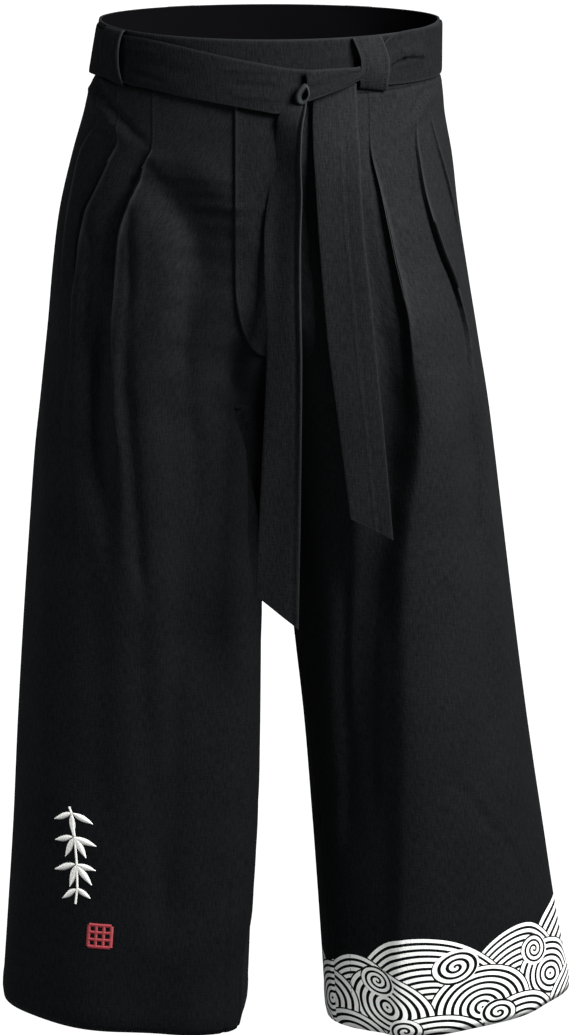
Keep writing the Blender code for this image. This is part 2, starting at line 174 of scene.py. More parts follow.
for lamp in LAMPS:
    turn, rise = radians(lamp.azimuth), radians(lamp.elevation)
    way = Vector((sin(turn) * cos(rise), -cos(turn) * cos(rise), sin(rise)))
    light = bpy.data.lights.new(lamp.name, "AREA")
    light.shape = "SQUARE"
    light.size = lamp.size
    light.energy = lamp.power
    made = add_object(lamp.name, light)
    made.location = Vector(lamp.aim) + way * lamp.distance
    made.rotation_euler = way.to_track_quat("Z", "Y").to_euler()
    made.light_linking.receiver_collection = groups[lamp.lights]
sun = bpy.data.lights.new("floor_sun", "SUN")
sun.energy = FLOOR_SUN
sun.angle = radians(SUN_SPREAD)
floor_sun = add_object("floor_sun", sun)
floor_sun.light_linking.receiver_collection = groups["studio"]
floor_sun.light_linking.blocker_collection = groups["studio"]
print("floor at", -FLOOR_DROP, "mm")

# %% [markdown]
# ## The form of the legs
# The shells have to lie on the solids, so the same level cuts are used again: for each
# drop below the waist, how far the outer and inner sides, the front and the back of a
# leg are. Between two rows a smooth curve is read. Above the crotch the two legs share
# one oval, and below it each is a tube of its own.

# %% Level cuts of the two legs, in millimetres
RIGHT, LEFT = -1, 1             # the wearer's right leg is on the -X side
BAND_TOP, BAND_BOTTOM = -26.0, 26.0
CROTCH, HEM = 330.0, 935.0
WAIST_HALF_WIDTH, WAIST_HALF_DEPTH = 158.0, 115.0
FRONT_DIP, BACK_RISE, DIP_LENGTH = 8.0, 1.0, 110.0
SEAM_GAP = 0.3
SEAM_LAP, SEAM_SINK = 0.6, 0.5      # mm that pieces run on past a seam, and dive under each other
INSEAM_TURN = {RIGHT: radians(38), LEFT: radians(25)}   # how far back the inseam is at the hem

Section = namedtuple("Section", "drop outer inner front back square tilt")
DEPTHS = [      # drop, front and back, the same for both legs
    (26, 115, 115), (42, 118, 118), (62, 122, 122), (100, 128, 130), (150, 133, 138),
    (200, 136, 143), (260, 137, 144), (330, 134, 139), (380, 128, 133), (450, 122, 126),
    (550, 115, 118), (650, 110, 112), (750, 106, 107), (850, 103, 103), (935, 100, 100),
]
WIDTHS = {      # outer and inner side, how square the inner corner in front is, and the tilt
    RIGHT: [
        (162, 0, 2, 0), (168, 0, 2, 0), (173, 0, 2, 0), (184, 0, 2, 0), (196, 0, 2, 0),
        (203, 0, 2, 0), (209, 0, 2, 0), (217, 0, 2, 0), (223, 2, 2.4, 0), (229, 5, 2.7, 0),
        (237, 8, 3, 0), (244, 11, 3.4, 0), (250, 15, 3.8, 1), (258, 20, 4.6, 3), (265, 24, 6, 6),
    ],
    LEFT: [
        (159, 0, 2, 0), (161, 0, 2, 0), (163, 0, 2, 0), (170, 0, 2, 0), (176, 0, 2, 0),
        (184, 0, 2, 0), (194, 0, 2, 0), (206, 0, 2, 0), (213, 5, 1.9, 0), (222, 13, 1.75, 0),
        (235, 22, 1.65, 0), (249, 33, 1.65, 0), (264, 41, 1.7, 3), (278, 47, 1.75, 7),
        (293, 52, 1.85, 14),
    ],
}
SECTIONS = {side: [Section(drop, outer, inner, front, back, square, tilt)
                   for (drop, front, back), (outer, inner, square, tilt) in zip(DEPTHS, rows)]
            for side, rows in WIDTHS.items()}
# How far the legs have parted into two lobes, as a share, above the crotch.
Parting = namedtuple("Parting", "drop share")
PARTINGS = named(
    Parting, (26, 0), (60, 0), (100, 0.03), (150, 0.12), (200, 0.3), (240, 0.52),
    (270, 0.72), (300, 0.89), (330, 1), (360, 1))


def along(rows, column, drop):
    """A smooth curve through one column of a table, read at a drop."""
    drop = min(max(drop, rows[0][0]), rows[-1][0])
    index = 0
    while index < len(rows) - 2 and rows[index + 1][0] < drop:
        index += 1
    low, high = rows[index], rows[index + 1]
    before, after = rows[max(index - 1, 0)], rows[min(index + 2, len(rows) - 1)]
    place, target = getattr(low, column), getattr(high, column)
    length = high[0] - low[0]
    slope_low = (target - getattr(before, column)) / (high[0] - before[0])
    slope_high = (getattr(after, column) - place) / (after[0] - low[0])
    t = (drop - low[0]) / length
    return (
        place * (2 * t**3 - 3 * t**2 + 1) + slope_low * length * (t**3 - 2 * t**2 + t)
        + target * (3 * t**2 - 2 * t**3) + slope_high * length * (t**3 - t**2)
    )


def fade(value, start, end):
    """0 at start, 1 at end, smooth between them."""
    share = min(max((value - start) / (end - start), 0.0), 1.0)
    return share * share * (3 - 2 * share)


def bump(value, middle, width):
    """A soft hump of height 1 at middle, gone about twice its width away."""
    return exp(-(((value - middle) / width) ** 2))


def waist_shift(depth_share, drop):
    """How far a point moves up (mm): the waist dips in front and rises behind."""
    amount = -FRONT_DIP if depth_share < 0 else BACK_RISE
    return amount * abs(depth_share) * (1 - fade(drop, BAND_BOTTOM, DIP_LENGTH))


Cut = namedtuple("Cut", "side drop centre half front back square tilt")


def level_cut(side, drop):
    """Everything about one leg at one level."""
    rows = SECTIONS[side]
    outer = along(rows, "outer", drop)
    if drop < CROTCH:
        share = min(along(PARTINGS, "share", drop), 1.0)
        half = outer / (1 + share)
        centre = share * half
    else:
        inner = max(along(rows, "inner", drop), SEAM_GAP / 2)
        centre, half = (outer + inner) / 2, (outer - inner) / 2
    others = (along(rows, name, drop) for name in ("front", "back", "square", "tilt"))
    return Cut(side, drop, centre, half, *others)


def on_cut(cut, angle, out=0.0):
    """A point of a level cut, in metres. angle is 0 at the side seam and -pi/2 in front."""
    if angle > pi:
        angle -= tau
    depth = cut.front if angle < 0 else cut.back
    power = cut.square if -pi < angle < -pi / 2 else 2.0
    reach = (abs(cos(angle)) ** power + abs(sin(angle)) ** power) ** (-1 / power)
    x = cut.centre + (cut.half + out) * reach * cos(angle)
    y = (depth + out) * reach * sin(angle)
    lift = cut.tilt * cos(angle) + waist_shift(sin(angle), cut.drop)
    return Vector((cut.side * x, y, lift - cut.drop)) * MM


def radius_at(cut, angle):
    """Millimetres travelled for each radian round a cut."""
    depth = cut.front if angle < 0 else cut.back
    return sqrt((cut.half * sin(angle)) ** 2 + (depth * cos(angle)) ** 2)


for leg_side, leg_name in ((RIGHT, "right"), (LEFT, "left")):
    hem = level_cut(leg_side, HEM)
    deep = round(hem.front + hem.back)
    print(leg_name, "hem is", round(2 * hem.half), "mm wide,", deep, "mm deep")

# %% [markdown]
# ## The pleats
# Each front has three knife pleats. A pleat is cloth folded over itself and stitched down
# for a few centimetres under the waistband. Below the last stitch, its tip, it springs
# open, and the folded edge stands proud with a hollow beside it. The edge is crisp near
# the tip and gets softer the farther it hangs. To give it a real overlap and not only a
# step, the points just beside the edge are also slid under it.

# %% Pleat edges, by drop (mm), angle (degrees round the leg) and lift (mm)
Fold = namedtuple("Fold", "drop angle lift")
PLEATS = {
    RIGHT: [
        named(Fold, (26, -16, .5), (38, -20.5, .6), (59, -24.5, .8), (68, -23.3, 1.6),
              (80, -20.6, 2.8), (94, -19, 3.4), (137, -20.3, 3.6), (168, -20.8, 2.8),
              (211, -22.3, 1.4), (270, -23, 0)),
        named(Fold, (26, -31.5, .6), (34, -32.6, .6), (66, -37.9, .8), (77, -39.7, 1.8),
              (95, -38.5, 3.6), (120, -36.2, 4.6), (145, -32.9, 5.0), (176, -33.8, 5.0),
              (209, -35.5, 4.2), (252, -37.5, 2.8), (320, -41, 1.4), (400, -45, 0)),
        named(Fold, (26, -49.3, .5), (52, -51.5, .5), (79, -53.5, .8), (84, -53.8, 2.0),
              (97, -52.4, 3.4), (125, -51.8, 4.8), (153, -51, 5.4), (182, -52.8, 5.6),
              (212, -55.9, 5.4), (254, -60.9, 4.6), (309, -68.6, 3.0), (390, -76, 1.4),
              (470, -79, 0)),
    ],
    LEFT: [
        named(Fold, (26, -24, .4), (39, -24.8, .4), (53, -24.9, .5), (58, -24.6, .8),
              (73, -23.8, 1.4), (99, -22.3, 2.0), (126, -18, 2.0), (153, -13.5, 1.6),
              (189, -11, .8), (240, -11, 0)),
        named(Fold, (26, -35, .4), (52, -34.9, .5), (65, -35.4, 1.2), (85, -36.9, 2.2),
              (120, -37.1, 3.2), (153, -34.9, 3.8), (181, -32.6, 4.0), (210, -29.8, 4.0),
              (255, -29.4, 3.7), (290, -32.6, 3.6), (325, -36.2, 3.4), (370, -38.6, 2.4),
              (440, -40.5, 0)),
        named(Fold, (26, -55.5, .5), (51, -55.8, .6), (74, -56.8, 1.0), (84, -57.2, 1.8),
              (97, -57.2, 2.6), (124, -56.4, 3.6), (154, -56.4, 4.6), (183, -57.5, 5.4),
              (203, -58.7, 6.0), (237, -62.3, 6.6), (289, -70.5, 7.0), (335, -75.3, 6.0),
              (383, -80.6, 4.4), (415, -85.7, 2.6), (480, -90.8, 0)),
    ],
}
TIP_DROPS = {RIGHT: (76, 77, 82), LEFT: (60, 64, 75)}   # where each pleat's stitching ends
TROUGH_DEPTH = 0.6             # of the hollow beside an edge, as a share of the lift
TROUGH_WIDTH, RIDGE_WIDTH = 15.0, 30.0
LOW_EDGE = (0.8, 3.0)           # lifts between which the two widths grow from a low edge's
LOW_EDGE_SHARE = 0.3            # how wide they are at a low edge
PLEAT_REACH = 90.0              # mm beside an edge, past which it does nothing
STEP_WIDTH = (0.8, 9.0)         # mm across the step, crisp at the tip and soft low down
TUCK = 0.75                     # how far points slide under the edge, as a share of the lift
TUCK_WIDTH, TUCKED_LIFT = 3.0, 0.6      # mm beside the edge, and the least lift with a tuck
TUCK_END = (200.0, 300.0)       # drops between which the overlap opens
SOFTENING = (215.0, 420.0)      # drops between which the edges soften
RUB_AND_HIGHLIGHT = {RIGHT: 1.3, LEFT: 0.6}    # how pale the edges are painted: wear, and painted highlight, stronger on the right leg
RUB_AND_HIGHLIGHT_LIFT = 4.0               # mm, the lift of an edge that is painted fully pale
RIM_PLACE, RIM_WIDTH = (1.4, 0.65), (1.2, 0.2)      # of the pale rim of wear and painted highlight: mm, and more for a tuck
RIM_FADES = ((0.6, 130, 220), (0.4, 220, 330))      # how much of the pale rim goes, between drops

Edge = namedtuple("Edge", "angle lift step tuck radius")


def edges_at(cut):
    """The pleat edges that cross a level, from the side seam inwards."""
    found = []
    for rows in PLEATS[cut.side]:
        angle = radians(along(rows, "angle", cut.drop))
        lift = max(along(rows, "lift", cut.drop), 0.0) if cut.drop < rows[-1].drop else 0.0
        soft = fade(cut.drop, *SOFTENING)
        step = STEP_WIDTH[0] + (STEP_WIDTH[1] - STEP_WIDTH[0]) * soft
        tuck = TUCK * max(lift - TUCKED_LIFT, 0.0) * (1 - fade(cut.drop, *TUCK_END))
        found.append(Edge(angle, lift, step, tuck, radius_at(cut, angle)))
    return found


def pleat_relief(cut, edges, angle):
    """(out, slide, paling): how far the pleats move a point out and along (mm), and how pale its
    edge is painted: wear, and painted highlight.
    """
    out, slide, wear = 0.0, 0.0, 0.0
    edge_rub_and_highlight = RUB_AND_HIGHLIGHT[cut.side] * (1 - sum(s * fade(cut.drop, *drops) for s, *drops in RIM_FADES))
    for edge in edges:
        across = cut.side * (angle - edge.angle) * edge.radius
        if abs(across) > PLEAT_REACH or edge.lift <= 0:
            continue
        narrow = LOW_EDGE_SHARE + (1 - LOW_EDGE_SHARE) * fade(edge.lift, *LOW_EDGE)
        hollow = -TROUGH_DEPTH * edge.lift * bump(across, 0, TROUGH_WIDTH * narrow)
        ridge = edge.lift * bump(across, 0, RIDGE_WIDTH * narrow)
        share = 0.5 + 0.5 * max(min(across / edge.step, 1.0), -1.0)
        share = share * share * (3 - 2 * share)
        out += hollow + (ridge - hollow) * share
        turn = across / TUCK_WIDTH
        slide -= edge.tuck * turn * exp(0.5 - turn * turn / 2)
        # The pale rim on the crest is wear, and painted highlight where the edge catches the lamp.
        rim, rim_width = (mm + more * edge.tuck for mm, more in (RIM_PLACE, RIM_WIDTH))
        wear += edge_rub_and_highlight * bump(across, rim, rim_width) * min(edge.lift / RUB_AND_HIGHLIGHT_LIFT, 1.0)
    return out, slide, min(wear, 1.0)


for leg_side in (RIGHT, LEFT):
    lifts = [round(edge.lift, 1) for edge in edges_at(level_cut(leg_side, 180))]
    print("pleat lifts at drop 180:", lifts)

# %% [markdown]
# ## The soft folds
# Under the pleats the cloth hangs in long troughs and ridges, no two alike. They are listed
# one by one: each has a path down the leg, a width, and a height that is negative for a
# trough. It fades in and out along its path. The ones on the back are made up in the same
# spirit, because cloth that is full in front is full behind as well.

# %% Troughs and ridges: path of (drop, angle), half width and height in mm. gentle is the
# half width on the side that looks to +X, where it differs.
Soft = namedtuple("Soft", "path width height gentle", defaults=(None,))
SOFT_FOLDS = {
    RIGHT: named(
        Soft,
        ([(15, -7), (27, -11), (33, -20), (41, -29), (51, -36.5), (62, -43), (75, -50),
          (84, -54)], 6, -3.8, 3.2),
        ([(20, -6), (36, -10), (46, -22), (58, -33), (70, -41.5), (86, -49)], 8, 3.4),
        ([(86, -48), (96, -51.5), (107, -56), (119, -60.5), (132, -65), (148, -70.5), (170, -75),
          (192, -79), (215, -83.5), (252, -92), (292, -103), (330, -110)], 11, -10.5, 25),
        ([(84, -49), (107, -55), (132, -65), (164, -77), (230, -93)], 12, -4.5, 44),
        ([(82, -49), (92, -52), (104, -56.5), (122, -63.5)], 4, -2, 5),
        ([(105, -50), (150, -60), (200, -70), (260, -79), (340, -90)], 17, 3.2),
        ([(60, -58), (90, -70), (130, -84), (180, -98)], 14, 2.6),
        ([(122, -52), (151, -54.2), (182, -57.7), (211, -61.7), (250, -66)], 3, -2.6),
        ([(122, -55), (151, -58), (182, -62), (215, -66), (260, -71)], 6, 1.6),
        ([(112, -37), (135, -36), (150, -35.5), (177, -40), (230, -45), (300, -50)], 6, -3.6),
        ([(170, -37), (215, -38.5), (278, -45), (343, -49.6), (409, -54.4), (480, -57)], 9, 2.8),
        ([(185, -45), (212, -48), (274, -56.5), (329, -63), (377, -67), (424, -71.5), (500, -75)],
          9, -4),
        ([(180, -54), (210, -57), (263, -65), (318, -72), (380, -77)], 8, 2.8),
        ([(217, -60), (253, -67), (289, -73), (326, -79.5), (384, -84), (447, -88), (520, -92)],
          8, -4.6, 6),
        ([(222, -46), (257, -52), (293, -57), (330, -60), (368, -62.5), (406, -65), (444, -69)],
          7, -5.5, 18),
        ([(290, -84), (350, -98), (440, -103), (540, -105)], 13, 2.6),
        ([(290, -108), (333, -112), (377, -115), (440, -117)], 8, -2.4),
        ([(225, -104), (261, -115), (318, -138), (370, -150), (445, -162), (540, -171)], 10, -8,
          13),
        ([(250, -112), (287, -128), (320, -142), (350, -146), (417, -147), (540, -147)], 5, -6,
          7),
        ([(440, -148), (560, -151), (700, -152), (880, -150)], 40, 5.5, 12),
        ([(200, -90), (250, -97), (310, -112), (370, -132)], 12, 3),
        ([(270, -96), (400, -106), (560, -112), (720, -112), (860, -108)], 18, -8.5, 40),
        ([(424, -62), (500, -68), (620, -72), (760, -75)], 17, -3),
        ([(260, -16), (400, -34), (560, -42), (760, -48)], 22, 3),
        ([(480, -90), (589, -93), (658, -97), (719, -101), (820, -107)], 12, -2.6),
        ([(520, -112), (700, -116), (840, -118), (935, -118)], 15, 2.6),
        ([(531, -141), (706, -136.5), (804, -132.5), (870, -132), (935, -132)], 1.8, -1.5),
        ([(120, 24), (240, 30), (380, 34), (520, 38)], 14, -4.5),
        ([(140, 40), (280, 48), (430, 52), (600, 54)], 18, 3.5),
        ([(90, 62), (200, 70), (340, 80), (520, 86)], 14, -5),
        ([(110, 84), (240, 94), (400, 100), (640, 102)], 20, 3.5),
        ([(300, 112), (420, 120), (600, 122), (800, 120)], 16, -3),
        ([(240, 140), (290, 125), (340, 104), (400, 88)], 9, -3),
        ([(480, 60), (640, 66), (800, 70), (935, 72)], 16, -2.6),
    ),
    LEFT: named(
        Soft,
        ([(22, -8), (29, -20), (37, -30.8), (48, -34.5), (60, -41)], 3.4, -3.4),
        ([(29, -8), (36, -20), (46, -30), (60, -38), (76, -46)], 6, 2.4),
        ([(180, -52), (237, -57), (289, -65.5), (335, -70), (383, -75.5), (415, -80.5),
          (480, -86), (540, -90), (640, -95.5), (730, -101), (890, -109), (935, -111)], 15, 9,
          60),
        ([(100, -63), (150, -63.5), (200, -66.5), (250, -73), (300, -79.5), (350, -85.5),
          (404, -91), (480, -98), (560, -104)], 24, -8.6, 12),
        ([(150, -69), (207, -75.5), (243, -81), (289, -88), (326, -91.5), (423, -96)], 9, -9, 24),
        ([(440, -118), (467, -119), (527, -123.5), (609, -130), (691, -136.5), (780, -142)], 8,
          -5.5, 26),
        ([(78, -83.5), (125, -86.5), (169, -91.5), (215, -101), (253, -112)], 6, -6, 12),
        ([(300, -34), (329, -35.5), (357, -36.5), (391, -37.5), (434, -39.5), (480, -41)], 9,
          -4.5, 6),
        ([(430, -97), (500, -104), (560, -109), (640, -115), (740, -121)], 16, -4, 8),
        ([(170, -44), (230, -44), (290, -50), (350, -58)], 8, -2.8),
        ([(220, -20), (320, -26), (440, -30), (600, -34)], 18, 2.6),
        ([(320, -44), (412, -46), (471, -45), (560, -46), (680, -50)], 13, -3.2),
        ([(380, -106), (464, -114), (504, -118), (560, -123), (660, -130)], 8, 3),
        ([(420, -128), (500, -134), (596, -140), (708, -146)], 11, 3),
        ([(230, -110), (270, -124), (310, -146), (350, -165)], 10, -4.5),
        ([(650, -84), (680, -74), (715, -62.6), (756, -47), (811, -31.5)], 6, -1.3),
        ([(662, -76), (690, -66), (725, -55), (766, -40), (820, -26)], 8, 1.1),
        ([(700, -22), (800, -30), (935, -34)], 20, -2.2),
        ([(120, 22), (230, 27), (360, 34), (500, 38)], 14, -4.5),
        ([(150, 42), (300, 50), (450, 55), (640, 58)], 19, 3.6),
        ([(95, 66), (210, 72), (350, 82), (560, 88)], 14, -5),
        ([(120, 88), (260, 97), (420, 104), (660, 106)], 20, 3.6),
        ([(320, 116), (450, 122), (640, 126), (820, 124)], 16, -3.2),
        ([(240, 140), (290, 126), (345, 106), (400, 90)], 9, -3),
        ([(500, 62), (660, 66), (820, 72), (935, 74)], 16, -2.4),
    ),
}
LONGEST_RUN, RUN_SHARE = 60.0, 0.35     # how long a fold takes to fade in: mm, share of it
SLANT_STEP, STEEPEST = 3.0, 4.0         # mm down a path to see how it leans, and most lean


def path_angle(path, drop):
    """Where a path crosses a level, in degrees, or None past its ends."""
    if not path[0][0] <= drop <= path[-1][0]:
        return None
    for (d0, a0), (d1, a1) in zip(path, path[1:]):
        if drop <= d1:
            return a0 + (a1 - a0) * (fade(drop, d0, d1) + (drop - d0) / (d1 - d0)) / 2


def soft_at(cut):
    """The soft folds that cross a level, with their height there."""
    found = []
    for fold in SOFT_FOLDS[cut.side]:
        degrees = path_angle(fold.path, cut.drop)
        if degrees is None:
            continue
        start, end = fold.path[0][0], fold.path[-1][0]
        run = min(LONGEST_RUN, (end - start) * RUN_SHARE)
        strength = fade(cut.drop, start, start + run)
        if end < HEM:                           # at the hem a fold just goes off the cloth
            strength *= 1 - fade(cut.drop, end - run, end)
        angle = radians(degrees)
        radius = radius_at(cut, angle)
        ahead = min(cut.drop + SLANT_STEP, end)
        slant = radians(path_angle(fold.path, ahead) - degrees) * radius
        slant /= max(ahead - cut.drop, SLANT_STEP / 6)
        stretch = sqrt(1 + min(slant * slant, STEEPEST**2))     # widths are across the fold
        gentle = (fold.gentle or fold.width) * stretch
        width, height = fold.width * stretch, fold.height * strength
        found.append((angle, cut.side, width, gentle, height, radius))
    return found


def soft_relief(folds, angle):
    total = 0.0
    for middle, side, width, gentle, height, radius in folds:
        across = side * ((angle - middle + pi) % tau - pi) * radius     # the short way round
        half = gentle if across > 0 else width
        if abs(across) < 3 * half:
            total += height * bump(across, 0, half)
    return total


print("soft folds:", {("right" if s < 0 else "left"): len(f) for s, f in SOFT_FOLDS.items()})

# %% [markdown]
# ## Black cotton and linen cloth
# The cloth is a plain weave of dyed cotton and linen yarn. Linen yarn is uneven, and its
# thick places, called slubs, show as short paler streaks along both threads. The threads
# are half a millimetre apart, too fine to see from where the camera stands, so they are
# drawn about five times as coarse. The finish is matt, with a faint bloom of loose fibre
# at grazing light. Where an edge is pressed or rubbed the dye is a little paler, and the
# same paler colour is painted on as a highlight where an edge catches the lamp. Each shell
# says where both are in one attribute.

# %% The cloth's weave as a group of nodes
THREAD = 2.0                    # mm between the drawn threads; the real ones are 0.5 mm apart
SLUB_ACROSS, SLUB_ALONG = 1.5, 9.0      # mm, a thick place in one yarn
WEFT_SHARE = 0.7                # how long a thick place of the weft is beside one of the warp
WEFT_WEIGHT, SLUB_RANGE = 0.55, (0.55, 1.05)    # how much the weft's show, and their noise
CLOUD_WEIGHT = (0.55, -0.27)    # times the cloud's noise, and added to it
CHECKER_HEIGHT = 0.08           # of the threads, as a share of the slubs' height
ROUGHNESS = (0.92, 0.78)        # where the dye is deep, and where it is worn
CLOUD = 55.0                    # mm, slow changes where the dye took more or less
# The edge colour marks worn edges, and is also painted on as highlight where edges catch the lamp.
DYE_DEEP, DYE_WORN, EDGE_WEAR_AND_HIGHLIGHT = "#090a0b", "#131415", "#222425"
# A near-black lining for the inner faces: a facing, and painted shade for the dark inside.
LINING_PAINTED_SHADE_DYE = "#030304"


def new_group(name, inputs, outputs):
    """An empty group of nodes, and what it is given. Both dictionaries say socket: kind."""
    group = bpy.data.node_groups.new(name, "ShaderNodeTree")
    for sockets, way in ((inputs, "INPUT"), (outputs, "OUTPUT")):
        for socket, kind in sockets.items():
            group.interface.new_socket(socket, in_out=way, socket_type=f"NodeSocket{kind}")
    return group, group.nodes.new("NodeGroupInput").outputs


def maths(tree, operation, first, second=0.5, third=0.5, **settings):
    """One step of arithmetic with numbers or sockets."""
    return node(tree, "ShaderNodeMath", {0: first, 1: second, 2: third},
                operation=operation, **settings).outputs[0]


def blend(tree, share, first, second):
    """The colour first where share is 0, and second where it is 1."""
    return node(tree, "ShaderNodeMix", {0: share, 6: first, 7: second},
                data_type="RGBA").outputs[2]


def slub_streaks(tree, place, size_across, size_along):
    """Noise pulled out along one thread, about 0 to 1."""
    stretched = node(tree, "ShaderNodeMapping",
                     {"Vector": place, "Scale": (1 / size_across, 1 / size_along, 1.0)})
    return node(tree, "ShaderNodeTexNoise", {"Vector": stretched.outputs[0], "Scale": 1.0,
                                             "Detail": 2.0, "Roughness": 0.6}).outputs[0]


def make_weave_group():
    """A group that turns cloth millimetres into a dye colour, paler at edges for wear and painted
    highlight, a roughness and a height.
    """
    group, given = new_group("plain_weave", {"Millimetres": "Vector", "Wear": "Float"},
                             {"Color": "Color", "Roughness": "Float", "Height": "Float"})
    place = given["Millimetres"]

    split = node(group, "ShaderNodeSeparateXYZ", {"Vector": place}).outputs
    waves = [maths(group, "SINE", maths(group, "MULTIPLY", split[axis], pi / THREAD))
             for axis in ("X", "Y")]
    checker = maths(group, "MULTIPLY", *waves)

    warp = slub_streaks(group, place, SLUB_ACROSS, SLUB_ALONG)
    weft = slub_streaks(group, place, SLUB_ALONG * WEFT_SHARE, SLUB_ACROSS)
    slubs = maths(group, "MULTIPLY_ADD", weft, WEFT_WEIGHT, warp)
    level = node(group, "ShaderNodeMapRange", {
        "Value": slubs, "From Min": SLUB_RANGE[0], "From Max": SLUB_RANGE[1]}).outputs[0]
    cloud = node(group, "ShaderNodeTexNoise", {"Vector": place, "Scale": 1 / CLOUD, "Detail": 3.0})
    uneven = maths(group, "MULTIPLY_ADD", cloud.outputs[0], *CLOUD_WEIGHT)
    tone = maths(group, "ADD", level, uneven, use_clamp=True)
    dyed = blend(group, tone, linear(DYE_DEEP), linear(DYE_WORN))
    rough = node(group, "ShaderNodeMapRange",
                 {"Value": tone, "To Min": ROUGHNESS[0], "To Max": ROUGHNESS[1]})
    # Paler colour at edges: wear, and painted highlight.
    node(group, "NodeGroupOutput", {
        "Color": blend(group, given["Wear"], dyed, linear(EDGE_WEAR_AND_HIGHLIGHT)),
        "Roughness": rough.outputs[0],
        "Height": maths(group, "MULTIPLY_ADD", checker, CHECKER_HEIGHT, level),
    })
    return group


WEAVE = make_weave_group()
print("weave nodes:", len(WEAVE.nodes))

# %% Materials that use the weave
BUMP_HEIGHT = 0.28              # mm from the hollows of the weave to its tops


def cloth_millimetres(tree):
    """The cloth's own UV map, whose unit is a metre, in millimetres."""
    uv = node(tree, "ShaderNodeUVMap", uv_map="cloth")
    return node(tree, "ShaderNodeVectorMath", {0: uv.outputs[0], 1: (1000, 1000, 1000)},
                operation="MULTIPLY").outputs[0]


def woven_material(name, painted_shade=1.0):
    """Dyed cotton and linen: matt, with a faint sheen of loose fibre. The second argument darkens
    the dye all over, as painted shade.
    """
    material, tree, shader = new_material(
        name, Specular_IOR_Level=0.03, Sheen_Weight=0.005, Sheen_Roughness=0.4)
    wear = node(tree, "ShaderNodeAttribute", attribute_name="wear")
    place = cloth_millimetres(tree)
    weave = node(tree, "ShaderNodeGroup", {"Millimetres": place, "Wear": wear.outputs["Fac"]},
                 node_tree=WEAVE)
    bumps = node(tree, "ShaderNodeBump", {"Height": weave.outputs["Height"], "Strength": 0.8,
                                          "Distance": BUMP_HEIGHT * MM})
    # The weave's colour, darkened all over as painted shade where the second argument is under 1.
    dyed = node(tree, "ShaderNodeHueSaturation", {"Value": painted_shade, "Color": weave.outputs["Color"]})
    tree.links.new(dyed.outputs[0], shader.inputs["Base Color"])
    tree.links.new(weave.outputs["Roughness"], shader.inputs["Roughness"])
    tree.links.new(bumps.outputs[0], shader.inputs["Normal"])
    return material, tree, shader, place, weave


black_cloth = woven_material("woven_cotton_linen")[0]
stiff_cloth_painted_shade = woven_material("stiffened_cotton_linen_painted_shade", 0.74)[0]     # a darker copy of the cloth, painted shade, for the doubled and pressed band, belt and placket
lining_painted_shade, _, _ = new_material("black_lining_painted_shade", Base_Color=linear(LINING_PAINTED_SHADE_DYE),
                                  Roughness=0.95, Specular_IOR_Level=0.02)
print("cloth material:", black_cloth.name)

# %% [markdown]
# ## The wave print
# The wearer's left leg has a white print of waves round its hem. The pattern is one shape
# used many times: a swell, which is an ellipse filled with rings. Each swell is painted
# over the ones before it, so the nearest comes last, as with fish scales. The nodes ask
# whether a point is inside the ellipse and how far it is from the closest ring. Where a
# twist is added to the rings they become a spiral, and that makes the curls. Beyond the
# side seam the distance is mirrored, so the print goes on round the back.

# %% A swell as a group of nodes
PRINT_WHITE, PRINT_LINE = "#e9e9e5", "#0b0c0e"
LINE_HALF = 0.22                # half of a drawn line, as a share of the space between rings
THIN_PRINT = 0.86               # how well the paste covers the thick places of the yarn


def make_swell_group():
    """A group that paints one ringed ellipse over what is already there."""
    painting = {"White": "Float", "Cover": "Float"}
    group, given = new_group("swell", {
        "Millimetres": "Vector", "Centre": "Vector", "Half Size": "Vector", "Lean": "Float",
        "Rings": "Float", "Twist": "Float", **painting}, painting)
    offset = node(group, "ShaderNodeVectorMath", {0: given["Millimetres"], 1: given["Centre"]},
                  operation="SUBTRACT")
    leant = node(group, "ShaderNodeVectorRotate",
                 {"Vector": offset.outputs[0], "Angle": given["Lean"]}, rotation_type="Z_AXIS")
    scaled = node(group, "ShaderNodeVectorMath", {0: leant.outputs[0], 1: given["Half Size"]},
                  operation="DIVIDE").outputs[0]
    reach = node(group, "ShaderNodeVectorMath", {0: scaled}, operation="LENGTH").outputs[1]
    split = node(group, "ShaderNodeSeparateXYZ", {0: scaled}).outputs
    turn = maths(group, "DIVIDE", maths(group, "ARCTAN2", split[1], split[0]), tau)
    twist = maths(group, "MULTIPLY", turn, given["Twist"])
    phase = maths(group, "MULTIPLY_ADD", reach, given["Rings"], twist)
    from_ring = maths(group, "PINGPONG", phase, 0.5)
    inside = maths(group, "LESS_THAN", reach, 1.0)
    painted = node(group, "ShaderNodeMix", {
        0: inside, 2: given["White"], 3: maths(group, "GREATER_THAN", from_ring, LINE_HALF)})
    node(group, "NodeGroupOutput", {"White": painted.outputs[0],
                                    "Cover": maths(group, "MAXIMUM", given["Cover"], inside)})
    return group


SWELL = make_swell_group()
print("swell nodes:", len(SWELL.nodes))

